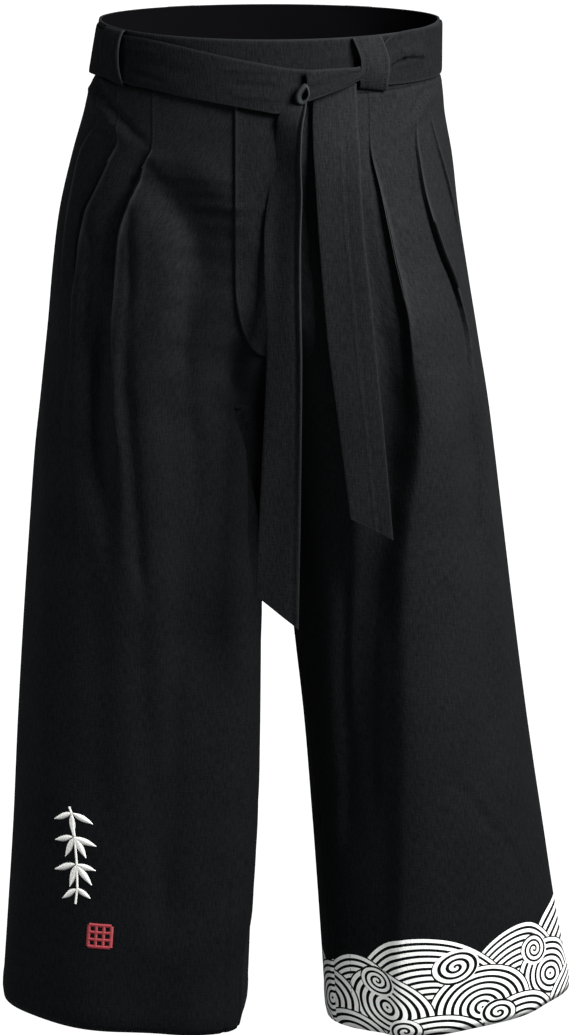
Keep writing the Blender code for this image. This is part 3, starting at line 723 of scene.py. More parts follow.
# %% The swells, from the farthest to the nearest
# Middle as distance from the side seam and drop, half width and half height (mm), lean
# in degrees, number of rings, and twist.
Swell = namedtuple("Swell", "along drop wide high lean rings twist")
SWELLS = named(
    Swell,
    (8, 952, 84, 121, 6, 13, 0), (100, 958, 78, 122, -9, 19, 0), (184, 962, 98, 128, 6, 20, 0),
    (268, 960, 68, 99, -7, 16, 0), (342, 962, 66, 92, 5, 15, 0), (414, 964, 70, 96, -4, 15, 0),
    (50, 905, 50, 39, -16, 6, 0), (139, 914, 54, 43, 13, 7, 0), (231, 908, 48, 35, -17, 6, 0),
    (310, 916, 46, 33, 12, 5, 0), (388, 912, 48, 36, -10, 6, 0), (14, 944, 50, 38, 9, 6, 0),
    (97, 948, 47, 40, -11, 6, 0), (190, 952, 55, 38, 7, 6, 0), (275, 948, 46, 31, -8, 5, 0),
    (352, 952, 48, 35, 6, 6, 0), (70, 871, 21, 16, -20, 3, 1), (160, 868, 24, 17, 16, 3, -1),
    (240, 884, 20, 14, -12, 3, 1), (124, 923, 19, 14, 0, 2.5, -1), (322, 893, 19, 13, 10, 3, 1),
    (214, 929, 17, 12, 8, 2.5, 1),
)


def print_waves(name):
    """The woven cloth with the waves printed on it."""
    material, tree, shader, place, weave = woven_material(name)
    split = node(tree, "ShaderNodeSeparateXYZ", {0: place}).outputs
    mirrored = maths(tree, "ABSOLUTE", split[0])
    spot = node(tree, "ShaderNodeCombineXYZ", {0: mirrored, 1: split[1]}).outputs[0]
    white, cover = 0.0, 0.0
    for swell in SWELLS:
        painted = node(tree, "ShaderNodeGroup", {
            "Millimetres": spot, "Centre": (swell.along, -swell.drop, 0),
            "Half Size": (swell.wide, swell.high, 1), "Lean": radians(swell.lean),
            "Rings": swell.rings, "Twist": swell.twist, "White": white, "Cover": cover,
        }, node_tree=SWELL)
        white, cover = painted.outputs["White"], painted.outputs["Cover"]
    ink = blend(tree, white, linear(PRINT_LINE), linear(PRINT_WHITE))
    thin = node(tree, "ShaderNodeMapRange", {"Value": weave.outputs["Height"], "From Max": 1.1,
                                             "To Min": 1.0, "To Max": THIN_PRINT})
    strength = maths(tree, "MULTIPLY", cover, thin.outputs[0])
    tree.links.new(blend(tree, strength, weave.outputs["Color"], ink), shader.inputs["Base Color"])
    return material


printed_cloth = print_waves("printed_cotton_linen")
print("swells printed:", len(SWELLS))

# %% [markdown]
# ## A sheet of cloth from a grid
# Every piece here is a sheet, so one helper makes them all. A grid is the natural start:
# it already has its rows and columns, and a function says where each crossing lies. The
# same function gives the place on the flat cloth, for the UV map, and how pale the point
# is painted: wear, and painted highlight along edges. Solidify then gives the sheet its
# thickness on the inner side, where some sheets take a near-black lining as painted shade,
# and a small bevel rounds the cut edges so that they catch the light. Each sheet takes the
# place of one solid.

# %% The helper for sheets
EDGE_ROUNDING, SHARP_EDGE = 0.5, 50.0       # mm, and the degrees from which an edge is rounded
DIMMED = ("front_right", "back_right")      # what the dimmed lamps shine on
# The last field says how pale a point is painted: wear, and painted highlight along edges.
Point = namedtuple("Point", "place flat wear")


def cloth_sheet(solid, columns, rows, point_at, inside, material, thickness,
                rounding=EDGE_ROUNDING, inner_painted_shade=None):
    """A sheet instead of a solid, whose crossing (column, row) lies at point_at(column, row).

    inside is a point in metres that the sheet's outer face looks away from.
    """
    bm = bmesh.new()
    uv_layer = bm.loops.layers.uv.new("cloth")
    wear_and_highlight_layer = bm.verts.layers.float.new("wear")
    bmesh.ops.create_grid(bm, x_segments=columns, y_segments=rows, size=1.0)
    flat = {}
    for vert in bm.verts:
        column = round((vert.co.x + 1) / 2 * columns)
        row = round((1 - vert.co.y) / 2 * rows)
        point = point_at(column, row)
        vert.co = point.place
        vert[wear_and_highlight_layer] = point.wear
        flat[vert] = point.flat
    for face in bm.faces:
        face.smooth = True
        for loop in face.loops:
            loop[uv_layer].uv = flat[loop.vert]
    bm.normal_update()
    facing = sum((face.calc_center_median() - Vector(inside)).dot(face.normal) * face.calc_area()
                 for face in bm.faces)
    if facing < 0:
        bmesh.ops.reverse_faces(bm, faces=bm.faces[:])
    area = sum(face.calc_area() for face in bm.faces)
    side = "dim_side" if solid in DIMMED else "bright_side"
    sheet = mesh_object(f"{solid}_cloth", bm, material, groups["garment"], groups[side])
    wall = sheet.modifiers.new("thickness", "SOLIDIFY")
    wall.thickness = thickness * MM
    wall.offset = -1.0
    # The inner faces take the near-black lining: painted shade inside the trousers.
    if inner_painted_shade:
        sheet.data.materials.append(inner_painted_shade)
        wall.material_offset = 1
    if rounding:
        edge = sheet.modifiers.new("soft_edges", "BEVEL")
        edge.width = rounding * MM
        edge.segments = 2
        edge.limit_method = "ANGLE"
        edge.angle_limit = radians(SHARP_EDGE)
    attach(sheet, "root")
    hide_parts(solid)
    print(f"{solid}: {columns * rows} faces, {area:.4f} square metres of cloth")
    return sheet


# %% [markdown]
# ## The four panels
# A front and a back are cut for each leg. They meet at the side seam, at the centre seams
# and at the inseam. A seam pulls the cloth in a little, so it shows as a fine valley, and
# the hem is turned up and stitched. The columns of a front crowd beside its pleat edges,
# where the cloth turns sharply, and spread out evenly below them.

# %% Rows and columns of the panels
PANEL_THICKNESS = 1.3
HEM_ALLOWANCE = 25.0            # mm, from the hem up to its stitches
SPREAD = (430.0, 620.0)         # drops between which the columns spread out
FINE_ROWS, PLAIN_ROWS = 96, 84
FIRST_ROW, FINE_END = BAND_BOTTOM - 1.5, 360.0
ROW_DROPS = [FIRST_ROW + (FINE_END - FIRST_ROW) * i / FINE_ROWS for i in range(FINE_ROWS)]
ROW_DROPS += [FINE_END + (HEM - FINE_END) * i / PLAIN_ROWS for i in range(PLAIN_ROWS + 1)]
CLUSTER, CLUSTER_REACH = 13, 10.0   # columns on each side of a pleat edge, and mm they take
CLUSTER_CROWDING = 1.6          # 1 would be even, and more crowds them towards the edge
FILL_COLUMNS = (16, 14, 16, 46)     # side seam to first pleat, and so on to the centre
BACK_COLUMNS = 96
LEG_MIDDLE = 0.13               # metres from the centre plane, inside the tube
LEAST_RADIUS = 20.0             # mm, where the lap past the inseam is worked out
# Valley and swelling beside a seam, as (height, half width) in mm, then the hem's line of
# stitches, the roll above it and the turned edge, and the seam under the waistband.
SEAM_VALLEY, SEAM_SWELL = (-1.3, 2.2), (0.5, 7.0)
HEM_LINE, HEM_ROLL, HEM_EDGE, BAND_SEAM = (-0.6, 2.0), (0.5, 8.0), (-1.2, 2.0), (-1.5, 2.2)
HEM_WEAR = (0.7, 1.6)           # how worn the hem's edge is, and how wide the worn line is
# The hem hangs in slow waves: height in mm, whole turns round the leg, start, and how
# much the start differs between the legs.
HEM_WAVES, WAVES_START = ((1.6, 3, 1.0, 1.0), (1.1, 7, 0.0, 2.0)), 700.0
PLEATED = (-2.2, 0.6)           # radians round the leg between which a pleat can reach


def seam_angle(cut, half_name):
    """Where a front or back ends: at the centre seam or, lower down, at the inseam."""
    if cut.drop < CROTCH:
        angle = acos(max(-1.0, min(1.0, (-SEAM_LAP / 2 - cut.centre) / cut.half)))
        return -angle if half_name == "front" else angle
    turn = INSEAM_TURN[cut.side] * fade(cut.drop, CROTCH, HEM)
    step = -SEAM_LAP / max(radius_at(cut, pi - turn), LEAST_RADIUS)
    return -(pi - turn) + step if half_name == "front" else pi + turn - step


def evenly(start, finish, count):
    """count values after start, the last of them finish."""
    return [start + (finish - start) * (i + 1) / count for i in range(count)]


def front_columns(cut, edges):
    start = SEAM_LAP / radius_at(cut, 0.0)
    finish = seam_angle(cut, "front")
    angles = [start]
    for edge, fill in zip(edges, FILL_COLUMNS):
        reach = CLUSTER_REACH / edge.radius
        angles += evenly(angles[-1], edge.angle + reach, fill)
        steps = range(CLUSTER - 1, -CLUSTER - 1, -1)
        angles += [edge.angle + reach * (i / CLUSTER) * abs(i / CLUSTER) ** (CLUSTER_CROWDING - 1)
                   for i in steps]
    angles += evenly(angles[-1], finish, FILL_COLUMNS[-1])
    even = fade(cut.drop, *SPREAD)
    count = len(angles) - 1
    return [a + (start + (finish - start) * i / count - a) * even for i, a in enumerate(angles)]


def back_columns(cut):
    start = -SEAM_LAP / radius_at(cut, 0.01)
    return [start] + evenly(start, seam_angle(cut, "back"), BACK_COLUMNS)


def relief(shape, distance):
    """The height (mm) of a (height, half width) shape at a distance from its middle."""
    return shape[0] * bump(distance, 0, shape[1])


def panel_relief(cut, edges, folds, angle, ends):
    """(out, slide, paling) of a panel's point: pleats, folds, seams and hem. The paling is wear,
    and painted highlight along pleat edges.
    """
    out, slide, wear = 0.0, 0.0, 0.0
    if PLEATED[0] < angle < PLEATED[1]:
        out, slide, wear = pleat_relief(cut, edges, angle)
    out += soft_relief(folds, angle)
    for end in ends:
        beside = (angle - end) * radius_at(cut, end)
        out += relief(SEAM_VALLEY, beside) + relief(SEAM_SWELL, beside)
    out += fade(cut.drop, WAVES_START, HEM) * sum(
        height * sin(turns * angle + start + side * cut.side)
        for height, turns, start, side in HEM_WAVES)
    stitches = HEM - HEM_ALLOWANCE
    out += relief(HEM_LINE, cut.drop - stitches) + relief(HEM_ROLL, cut.drop - stitches - 8)
    out += relief(HEM_EDGE, cut.drop - HEM) + relief(BAND_SEAM, cut.drop - BAND_BOTTOM + 1)
    return out, slide, max(wear, relief(HEM_WEAR, cut.drop - HEM + 1.0))


def panel(solid, side, half_name, material):
    table = []
    for drop in ROW_DROPS:
        cut = level_cut(side, drop)
        edges, folds = edges_at(cut), soft_at(cut)
        angles = front_columns(cut, edges) if half_name == "front" else back_columns(cut)
        ends = (0.0, angles[-1])
        arc, previous, row = 0.0, on_cut(cut, angles[0]), []
        for angle in angles:
            plain = on_cut(cut, angle)
            arc += (plain - previous).length
            previous = plain
            out, slide, wear = panel_relief(cut, edges, folds, angle, ends)
            out -= SEAM_SINK if angle in (angles[0], angles[-1]) else 0.0
            moved = angle + cut.side * slide / radius_at(cut, angle)
            flat = (arc if half_name == "front" else -arc, -drop * MM)
            row.append(Point(on_cut(cut, moved, out), flat, wear))
        if drop < CROTCH:
            row[-1].place.x = -side * SEAM_LAP / 2 * MM     # the legs' panels stay joined
        table.append(row)
    return cloth_sheet(solid, len(table[0]) - 1, len(table) - 1,
                       lambda column, row: table[row][column], (side * LEG_MIDDLE, 0.0, -0.5),
                       material, PANEL_THICKNESS, rounding=0.0, inner_painted_shade=lining_painted_shade)


for side_name, side in (("right", RIGHT), ("left", LEFT)):
    for half_name in ("front", "back"):
        solid = f"{half_name}_{side_name}"
        cloth = black_cloth if side == RIGHT else printed_cloth
        panel(solid, side, half_name, cloth)

# %% [markdown]
# ## The waistband
# The waistband is a straight strip, stiffened inside, that the panels hang from. It is
# pressed flat, so it keeps to its oval. Its folded upper edge and the seam along its
# lower edge are what the eye reads, so both get a little roundness.

# %% Waistband
BAND_THICKNESS = 2.2
BAND_COLUMNS, BAND_ROWS = 150, 22
# Lines along the band, as (drop, (height, half width)): its edges and its row of stitches.
BAND_LINES = [(BAND_BOTTOM, (-0.5, 2.0)), (BAND_TOP, (-0.4, 1.2)), (BAND_BOTTOM - 5, (-0.35, 1.4))]
BAND_SIDE_SEAM = (-0.8, 2.0)
BAND_WAVE = 0.35                # mm, its slight waves
# Paler along the band's top edge and a little along its seam: wear, and painted highlight on the
# top edge.
BAND_WEAR_AND_HIGHLIGHT = [(BAND_TOP, (0.7, 1.6)), (BAND_BOTTOM - 1.5, (0.15, 1.5))]


def round_waist(way, drop, out, dipped=True):
    """A point round the waist, out mm off the waistband. way is 0 at +X and -pi/2 in front."""
    x = (WAIST_HALF_WIDTH + out) * cos(way)
    y = (WAIST_HALF_DEPTH + out) * sin(way)
    shift = waist_shift(sin(way), BAND_BOTTOM) if dipped else 0.0
    return Vector((x, y, shift - drop)) * MM


def waist_arc(way):
    """Roughly how far (mm) a way round the waist is from +X, along the waistband."""
    mean = (WAIST_HALF_WIDTH + WAIST_HALF_DEPTH) / 2
    lean = (WAIST_HALF_WIDTH - WAIST_HALF_DEPTH) / 2
    return mean * way - lean * sin(2 * way) / 2


def waistband(solid, start_way, end_way):
    margin = -SEAM_LAP / WAIST_HALF_DEPTH

    def point_at(column, row):
        way = start_way + margin + (end_way - start_way - 2 * margin) * column / BAND_COLUMNS
        share = row / BAND_ROWS
        drop = BAND_TOP + (BAND_BOTTOM - BAND_TOP) * share
        out = sum(relief(shape, drop - level) for level, shape in BAND_LINES)
        out += BAND_WAVE * sin(9 * way + 0.08 * drop) * sin(pi * share)
        seam = min(abs(way - start_way), abs(way - end_way)) * WAIST_HALF_DEPTH
        out += relief(BAND_SIDE_SEAM, seam) - (SEAM_SINK if column in (0, BAND_COLUMNS) else 0.0)
        wear = sum(relief(shape, drop - level) for level, shape in BAND_WEAR_AND_HIGHLIGHT)
        return Point(round_waist(way, drop, out), (waist_arc(way) * MM, -drop * MM), min(wear, 1))

    return cloth_sheet(solid, BAND_COLUMNS, BAND_ROWS, point_at, (0, 0, 0),
                       stiff_cloth_painted_shade, BAND_THICKNESS, inner_painted_shade=lining_painted_shade)


band_front = waistband("waistband_front", -pi, 0.0)
band_back = waistband("waistband_back", 0.0, pi)

# %% [markdown]
# ## The belt
# The belt is a long flat tube of the same cloth, 45 mm wide. It runs from the knot round
# the wearer's left side, the back and the right side, and comes back to the knot, lower
# than it started. Where it goes through a loop it is squeezed, so it bunches into ridges
# that run lengthwise and spread out again into creases.

# %% Belt
# Degrees round the waist, drops of the edges (mm), and how far the upper edge stands off
# the waistband, and the lower edge beyond that.
BeltPoint = namedtuple("BeltPoint", "way top bottom stand flare")
BELT = named(
    BeltPoint,
    (-78.6, 8.5, 36, 8.0, 0.0), (-73, 8, 31, 8.0, 0.0), (-67, 7.5, 25.5, 7.8, 0.0),
    (-61, 7, 19.5, 7.0, 0.0), (-56, 2, 20, 5.0, 0.0), (-50, -12, 25, 2.2, 0.0),
    (-46, -19, 26, 1.2, 0.0), (-38, -22, 26, 0.9, 0.0), (-20, -23, 25, 0.8, 0.0),
    (0, -23, 23, 0.8, 0.0), (30, -22, 21, 0.8, 0.0), (60, -22, 21, 0.8, 0.0),
    (90, -22, 21, 0.8, 0.0), (120, -22, 21, 0.8, 0.0), (150, -22, 22, 0.8, 1.0),
    (180, -20, 24, 0.6, 7.8), (190, -19, 24, 1.2, 5.2), (200, -18, 24, 1.6, 2.6),
    (208.5, -17, 25, 2.2, 1.6), (216, -17, 26.5, 2.2, 0.8), (226, -16, 29, 2.2, 0.6),
    (240, -11, 34, 2.0, 2.0), (254, -4, 39, 2.4, 4.0), (268, 3, 45, 4.2, 6.0),
    (273, 5.5, 47, 4.8, 6.0), (276, 7, 43, 4.6, 4.4), (279.5, 8, 37, 4.4, 2.0),
    (283.5, 9, 33, 3.4, 0.2),
)
BELT_WIDTH = 45.0
STRIP_THICKNESS = 1.5           # of the belt, its ends, the loops and the placket
STRIP_EDGE = (-0.5, 1.5)        # how it thins at its edges: height and half width in mm
# Paler along both edges: wear, and painted highlight.
BELT_WEAR_AND_HIGHLIGHT = (0.4, 1.2)
KNOT_STAND, KNOT_REACH = 2.8, 7.5           # mm the squeezed end stands out, and its degrees
LOOSE_EDGE, LOOSE_WAYS = 4.5, (57, 66)      # mm the lower edge leaves the front by, and where
BELT_COLUMNS, BELT_ROWS = 330, 26
# Creases in the belt, as (way, share of its width) at both ends, half width and height in mm.
# above is the half width on the upper side, where it differs and makes a ledge.
Crease = namedtuple("Crease", "start end width height above", defaults=(None,))
BELT_CREASES = named(
    Crease,
    ((-53, 0.64), (-36, 0.40), 1.0, 4.4, 9.0), ((-44.5, 0.43), (-25, 0.57), 1.0, 3.8, 9.0),
    ((-48, 0.44), (-34, 0.10), 2.6, 1.2), ((-47, 0.66), (-30, 0.62), 2.4, 0.8),
    ((-66, 0.10), (-57, 0.42), 1.6, 0.8), ((-72, 0.80), (-58, 0.60), 1.6, -0.8),
    ((216, 0.30), (232, 0.22), 3.0, 0.7), ((216, 0.72), (236, 0.80), 2.6, -0.8),
    ((252, 0.30), (274, 0.10), 2.4, 0.8), ((256, 0.55), (276, 0.42), 2.6, -1.0),
    ((258, 0.78), (276, 0.66), 2.4, 0.9), ((222, 0.48), (250, 0.52), 6.0, -0.6),
    ((196, 0.34), (209, 0.44), 2.6, -1.0), ((190, 0.70), (209, 0.62), 2.6, 0.9),
    ((130, 0.40), (158, 0.55), 4.0, -0.7), ((66, 0.55), (96, 0.40), 4.0, -0.7),
)
BUNCH_SWELL, BUNCH_RIDGES = 1.5, 0.9        # mm, where the belt is wholly bunched
BUNCHED_WAYS = (58, 122, 208.5)     # where a loop presses it into small ridges
LOOP_RIDGES, LOOP_GRIP = 0.6, 7.0   # their height in mm, and degrees to each side
NARROWEST = 20.0                # mm, for the scale of the creases where it is squeezed
CREASE_START, CREASE_END = 0.25, 0.7        # shares of a crease where it is whole


def belt_relief(way, share, width):
    """Ridges where the belt is bunched, and its creases (mm)."""
    bunched = max(1 - width / BELT_WIDTH, 0.0)
    ridges = BUNCH_RIDGES * sin(tau * (1.6 * share + 0.03 * way))
    out = bunched * (BUNCH_SWELL * sin(pi * share) + ridges)
    for loop_way in BUNCHED_WAYS:
        ridges = sin(tau * (2.2 * share + 0.1 * (way - loop_way)))
        out += LOOP_RIDGES * bump(way, loop_way, LOOP_GRIP) * ridges
    for crease in BELT_CREASES:
        (first_way, first_share), (last_way, last_share) = crease.start, crease.end
        if not first_way <= way <= last_way:
            continue
        done = (way - first_way) / (last_way - first_way)
        offset = (share - first_share - (last_share - first_share) * done) * max(width, NARROWEST)
        strength = fade(done, 0.0, CREASE_START) * (1 - fade(done, CREASE_END, 1.0))
        reach = crease.above if crease.above and offset < 0 else crease.width
        out += crease.height * strength * bump(offset, 0, reach)
    return out


def belt_point(column, row):
    way = BELT[0].way + (BELT[-1].way - BELT[0].way) * column / BELT_COLUMNS
    share = row / BELT_ROWS
    top, bottom = along(BELT, "top", way), along(BELT, "bottom", way)
    stand = along(BELT, "stand", way) + along(BELT, "flare", way) * share
    edge = min(share, 1 - share) * (bottom - top)
    out = stand + STRIP_THICKNESS + belt_relief(way, share, bottom - top)
    out += relief(STRIP_EDGE, edge)
    out += KNOT_STAND * bump(way, BELT[0].way - 1, KNOT_REACH)
    out += LOOSE_EDGE * share * fade(-way, *LOOSE_WAYS)
    drop = top + (bottom - top) * share
    flat = (waist_arc(radians(way)) * MM, -share * BELT_WIDTH * MM)
    place = round_waist(radians(way), drop, out, dipped=False)
    return Point(place, flat, relief(BELT_WEAR_AND_HIGHLIGHT, edge - 0.4))


belt = cloth_sheet("belt", BELT_COLUMNS, BELT_ROWS, belt_point, (0, 0, 0),
                   stiff_cloth_painted_shade, STRIP_THICKNESS)

# %% [markdown]
# ## The belt loops
# A loop is a short strip sewn down at its top and bottom with a line of stitches along
# each side. It stands off the waistband by the belt that runs through it, and bends in
# sharply at both ends. The two at the back are alike.

# %% Belt loops
# stand is how far it stands off the waistband, rise how much its lower end slants, and
# lean how far it leans sideways, all in mm.
Loop = namedtuple("Loop", "solid way stand rise lean")
LOOPS = named(
    Loop,
    ("belt_loop_front_left", -54, 9.0, 5.0, 4.5), ("belt_loop_front_right", 208.5, 8.4, 3.0, 0.0),
    ("belt_loop_back_left", 58, 6.0, 1.0, 0.0), ("belt_loop_back_right", 122, 6.0, 1.0, 0.0),
)
LOOP_WIDTH, LOOP_TOP, LOOP_BOTTOM = 28.0, -26.0, 25.8
LOOP_LENGTH = LOOP_BOTTOM - LOOP_TOP
LOOP_BEND, LOOP_END_STAND = 0.55, 0.5   # how sharply it bends, and mm off the band at its ends
LOOP_STITCH_IN = 5.0            # mm from a loop's side to its stitches
LOOP_STITCHES, LOOP_ROLL, LOOP_SIDE = (-0.45, 1.1), (0.3, 2.0), (-0.4, 1.2)
LOOP_FULLNESS = 0.5             # mm, its cloth between the two rows of stitches
# Paler along a loop's sides: wear, and painted highlight; at its ends, wear.
LOOP_SIDE_WEAR_AND_HIGHLIGHT, LOOP_END_WEAR = (0.45, 1.3), (0.2, 1.5)
LOOP_COLUMNS, LOOP_ROWS = 24, 44


def loop_point(loop, across, share, lift=0.0):
    """A point on a loop. across is -1 to 1 over its width, share 0 to 1 down it."""
    middle = radians(loop.way)
    radius = sqrt((WAIST_HALF_WIDTH * sin(middle)) ** 2 + (WAIST_HALF_DEPTH * cos(middle)) ** 2)
    # It leans down to its middle, hangs straight, and leans a little more at its foot.
    leant = loop.lean * (fade(share, 0.0, 0.5) - 1.5 + 0.4 * fade(share, 0.75, 1.0))
    way = middle + (LOOP_WIDTH / 2 * across + leant) / radius
    bottom = LOOP_BOTTOM - loop.rise * (1 - across) / 2
    drop = LOOP_TOP + (bottom - LOOP_TOP) * share
    bend = sin(pi * share) ** LOOP_BEND
    out = LOOP_END_STAND + (loop.stand - LOOP_END_STAND) * bend + STRIP_THICKNESS + lift
    side = (1 - abs(across)) * LOOP_WIDTH / 2
    out += relief(LOOP_STITCHES, side - LOOP_STITCH_IN) + relief(LOOP_SIDE, side)
    out += relief(LOOP_ROLL, side - LOOP_STITCH_IN / 2)
    out += LOOP_FULLNESS * sin(pi * share) * (0.6 - across * across)
    return round_waist(way, drop, out)


def belt_loop(loop):
    def point_at(column, row):
        across, share = 2 * column / LOOP_COLUMNS - 1, row / LOOP_ROWS
        side = (1 - abs(across)) * LOOP_WIDTH / 2
        end = min(share, 1 - share) * LOOP_LENGTH
        wear = relief(LOOP_SIDE_WEAR_AND_HIGHLIGHT, side - 0.3) + relief(LOOP_END_WEAR, end - 0.5)
        flat = (across * LOOP_WIDTH / 2 * MM, -share * LOOP_LENGTH * MM)
        return Point(loop_point(loop, across, share), flat, min(wear, 1.0))

    return cloth_sheet(loop.solid, LOOP_COLUMNS, LOOP_ROWS, point_at,
                       (0, 0, 0), black_cloth, STRIP_THICKNESS)


loops = [belt_loop(loop) for loop in LOOPS]

# %% [markdown]
# ## The fly placket
# The placket is a folded strip that covers the front opening. It lies on both fronts, so
# each of its points is found from the panel under it, folds and all, and then lifted by
# the cloth's thickness. Its left edge is a pressed fold and its lower corner is rounded.

# %% Placket
PLACKET_LEFT, PLACKET_RIGHT, PLACKET_BOTTOM, PLACKET_CURVE = -30.5, 8.0, 275.0, 80.0
PLACKET_TOP, PLACKET_STAND = BAND_BOTTOM + 0.3, 1.2
PLACKET_ROLL, PLACKET_FOLD = (1.0, 3.0), (-0.5, 0.9)    # beside its left edge, and at it
# Paler along the left edge: wear, and painted highlight.
PLACKET_WEAR_AND_HIGHLIGHT = (0.9, 1.2)
PLACKET_COLUMNS, PLACKET_ROWS = 30, 120


def front_at(x, drop, out=0.0):
    """The point of the trousers' front at a distance x from the centre plane (mm)."""
    side = LEFT if x > 0 else RIGHT
    cut = level_cut(side, drop)
    angle = -acos(max(-1.0, min(1.0, (abs(x) - cut.centre) / cut.half)))
    folds = soft_relief(soft_at(cut), angle) + pleat_relief(cut, edges_at(cut), angle)[0]
    place = on_cut(cut, angle, folds)
    return Vector((x * MM, place.y - out * MM, place.z))


def placket_point(column, row):
    drop = PLACKET_TOP + (PLACKET_BOTTOM - PLACKET_TOP) * row / PLACKET_ROWS
    corner = max(drop - (PLACKET_BOTTOM - PLACKET_CURVE), 0.0) / PLACKET_CURVE
    left = PLACKET_LEFT * sqrt(max(1 - corner * corner, 0.0))
    x = left + (PLACKET_RIGHT - left) * column / PLACKET_COLUMNS
    out = PLACKET_STAND + STRIP_THICKNESS
    out += relief(PLACKET_ROLL, x - left - 2) + relief(PLACKET_FOLD, x - left)
    wear = relief(PLACKET_WEAR_AND_HIGHLIGHT, x - left - 0.5)
    return Point(front_at(x, drop, out), (x * MM, -drop * MM), wear)


placket = cloth_sheet("fly_placket", PLACKET_COLUMNS, PLACKET_ROWS,
                      placket_point, (0, 0, -0.1), stiff_cloth_painted_shade, STRIP_THICKNESS, rounding=0.4)

# %% [markdown]
# ## The two hanging ends
# Under the knot the belt's two ends hang free, one longer than the other, with slanted
# tips. The long end is turned so that its right edge comes forward, which leaves its
# face in shade and its edge bright, and a painted highlight along its edges adds to that.
# The short one faces forward and has a faint ridge where the seam inside the tube shows
# through.

# %% Belt ends
# The drop, the left and right edges' distance from the centre plane, and the depth (mm).
TiePoint = namedtuple("TiePoint", "drop left right depth")
LONG_TIE = named(
    TiePoint,
    (36, 22, 34, 120), (41, 15, 33.5, 121), (47, 9.5, 32.5, 122), (54, 7.5, 31, 125),
    (62, 7, 30, 127), (88, 3, 29, 134), (115, 0, 30, 141), (150, -4, 29, 144.5),
    (200, -4, 29, 146), (255, -2, 30, 146), (373, -7, 29, 145), (490, -13, 27, 144),
)
SHORT_TIE = named(
    TiePoint,
    (22, 40.5, 79, 117), (50, 39, 80, 122), (77, 39.5, 82, 131), (109, 41.5, 83, 139),
    (150, 44, 86, 143), (200, 48, 92, 145), (255, 53, 98, 145), (340, 64, 107, 144),
    (417, 74, 114, 143),
)
LONG_SLANT, SHORT_SLANT = 30.0, 20.0    # mm that a tip is lower at the right
LONG_YAW, SHORT_YAW = 11.0, 1.5         # mm that the right edge comes out
LONG_RUB_AND_HIGHLIGHT, SHORT_RUB_AND_HIGHLIGHT = 0.6, 0.25         # how pale the edges are painted: wear, and painted highlight
# The paling, wear and painted highlight, has this share at the left and grows across
# towards the lit right edge, and part of it goes lower down.
RUB_AND_HIGHLIGHT_LEFT, RUB_AND_HIGHLIGHT_ACROSS, RUB_AND_HIGHLIGHT_GOES, RUB_AND_HIGHLIGHT_DROPS = 0.25, (0.4, 0.9), 0.6, (160, 420)
TIP_WEAR = (0.4, 1.2)
TIE_CLEARANCE = 3.9             # mm off the front where an end still lies on it
TIE_FREE = (30.0, 110.0)        # drops between which it comes away from the front
TIE_EDGE = (-0.5, 1.0)
TIE_COLUMNS, TIE_ROWS = 30, 130


def plain_front_depth(x, drop):
    """Depth of the solid's front at x, without its folds (mm)."""
    cut = level_cut(LEFT if x > 0 else RIGHT, drop)
    share = (abs(x) - cut.centre) / cut.half
    return cut.front * sqrt(max(1 - share * share, 0.0))


def tie_end(solid, table, slant, face_relief, yaw, rub_and_highlight_strength):
    """A hanging end of the belt. face_relief(share across, drop) shapes its face (mm)."""
    top, bottom = table[0].drop, table[-1].drop

    def point_at(column, row):
        across, drop = column / TIE_COLUMNS, top + (bottom - top) * row / TIE_ROWS
        left, right = along(table, "left", drop), along(table, "right", drop)
        x = left + (right - left) * across
        edge = min(across, 1 - across) * (right - left)
        free = fade(drop, *TIE_FREE)
        against = plain_front_depth(x, max(drop, BAND_BOTTOM)) + TIE_CLEARANCE
        depth = against + (along(table, "depth", drop) - against) * free + STRIP_THICKNESS
        depth += face_relief(across, drop) + yaw * (across - 0.5) * free + relief(TIE_EDGE, edge)
        level = drop + slant * across * fade(drop, top, bottom)
        # Pale edges: wear, and painted highlight that grows towards the lit right edge.
        edge_rub_and_highlight = RUB_AND_HIGHLIGHT_LEFT + (1 - RUB_AND_HIGHLIGHT_LEFT) * fade(across, *RUB_AND_HIGHLIGHT_ACROSS)
        edge_rub_and_highlight *= rub_and_highlight_strength * (1 - RUB_AND_HIGHLIGHT_GOES * fade(drop, *RUB_AND_HIGHLIGHT_DROPS))
        wear = edge_rub_and_highlight * bump(edge, 0.4, 1.1) + relief(TIP_WEAR, bottom - drop - 0.3)
        return Point(Vector((x, -depth, -level)) * MM, (x * MM, -level * MM), min(wear, 1.0))

    return cloth_sheet(solid, TIE_COLUMNS, TIE_ROWS, point_at, (0.03, 0, -0.25),
                       black_cloth, STRIP_THICKNESS)


def long_face(across, drop):
    """The long end: over the belt's edge, a rolled right edge, and a slow twist."""
    over_belt = (4.5 + 4.0 * fade(drop, 36, 46)) * (1 - fade(drop, 50, 105))
    turned = 13.0 * (across - 0.5) * bump(drop, 80, 50)
    roll = 2.2 * bump(across, 0.95, 0.07) - 1.2 * bump(across, 0.84, 0.06)
    roll *= 1 - 0.7 * fade(drop, 200, 400)
    ripple = 0.8 * sin(drop / 41.0 + 3 * across) * sin(pi * across)
    hollow = 1.6 * bump(across, 0.3, 0.25) * bump(drop, 150, 60)
    return over_belt + turned + roll + ripple - hollow


def short_face(across, drop):
    """The short end: nearly flat, with the ridge of its inner seam."""
    ridge = 0.45 * bump(across, 0.6, 0.03) - 0.3 * bump(across, 0.66, 0.05)
    return ridge + 0.8 * sin(drop / 52.0 + 2 * across + 1) * sin(pi * across)


long_end = tie_end("belt_tie_long", LONG_TIE, LONG_SLANT, long_face, LONG_YAW, LONG_RUB_AND_HIGHLIGHT)
short_end = tie_end("belt_tie_short", SHORT_TIE, SHORT_SLANT, short_face, SHORT_YAW, SHORT_RUB_AND_HIGHLIGHT)

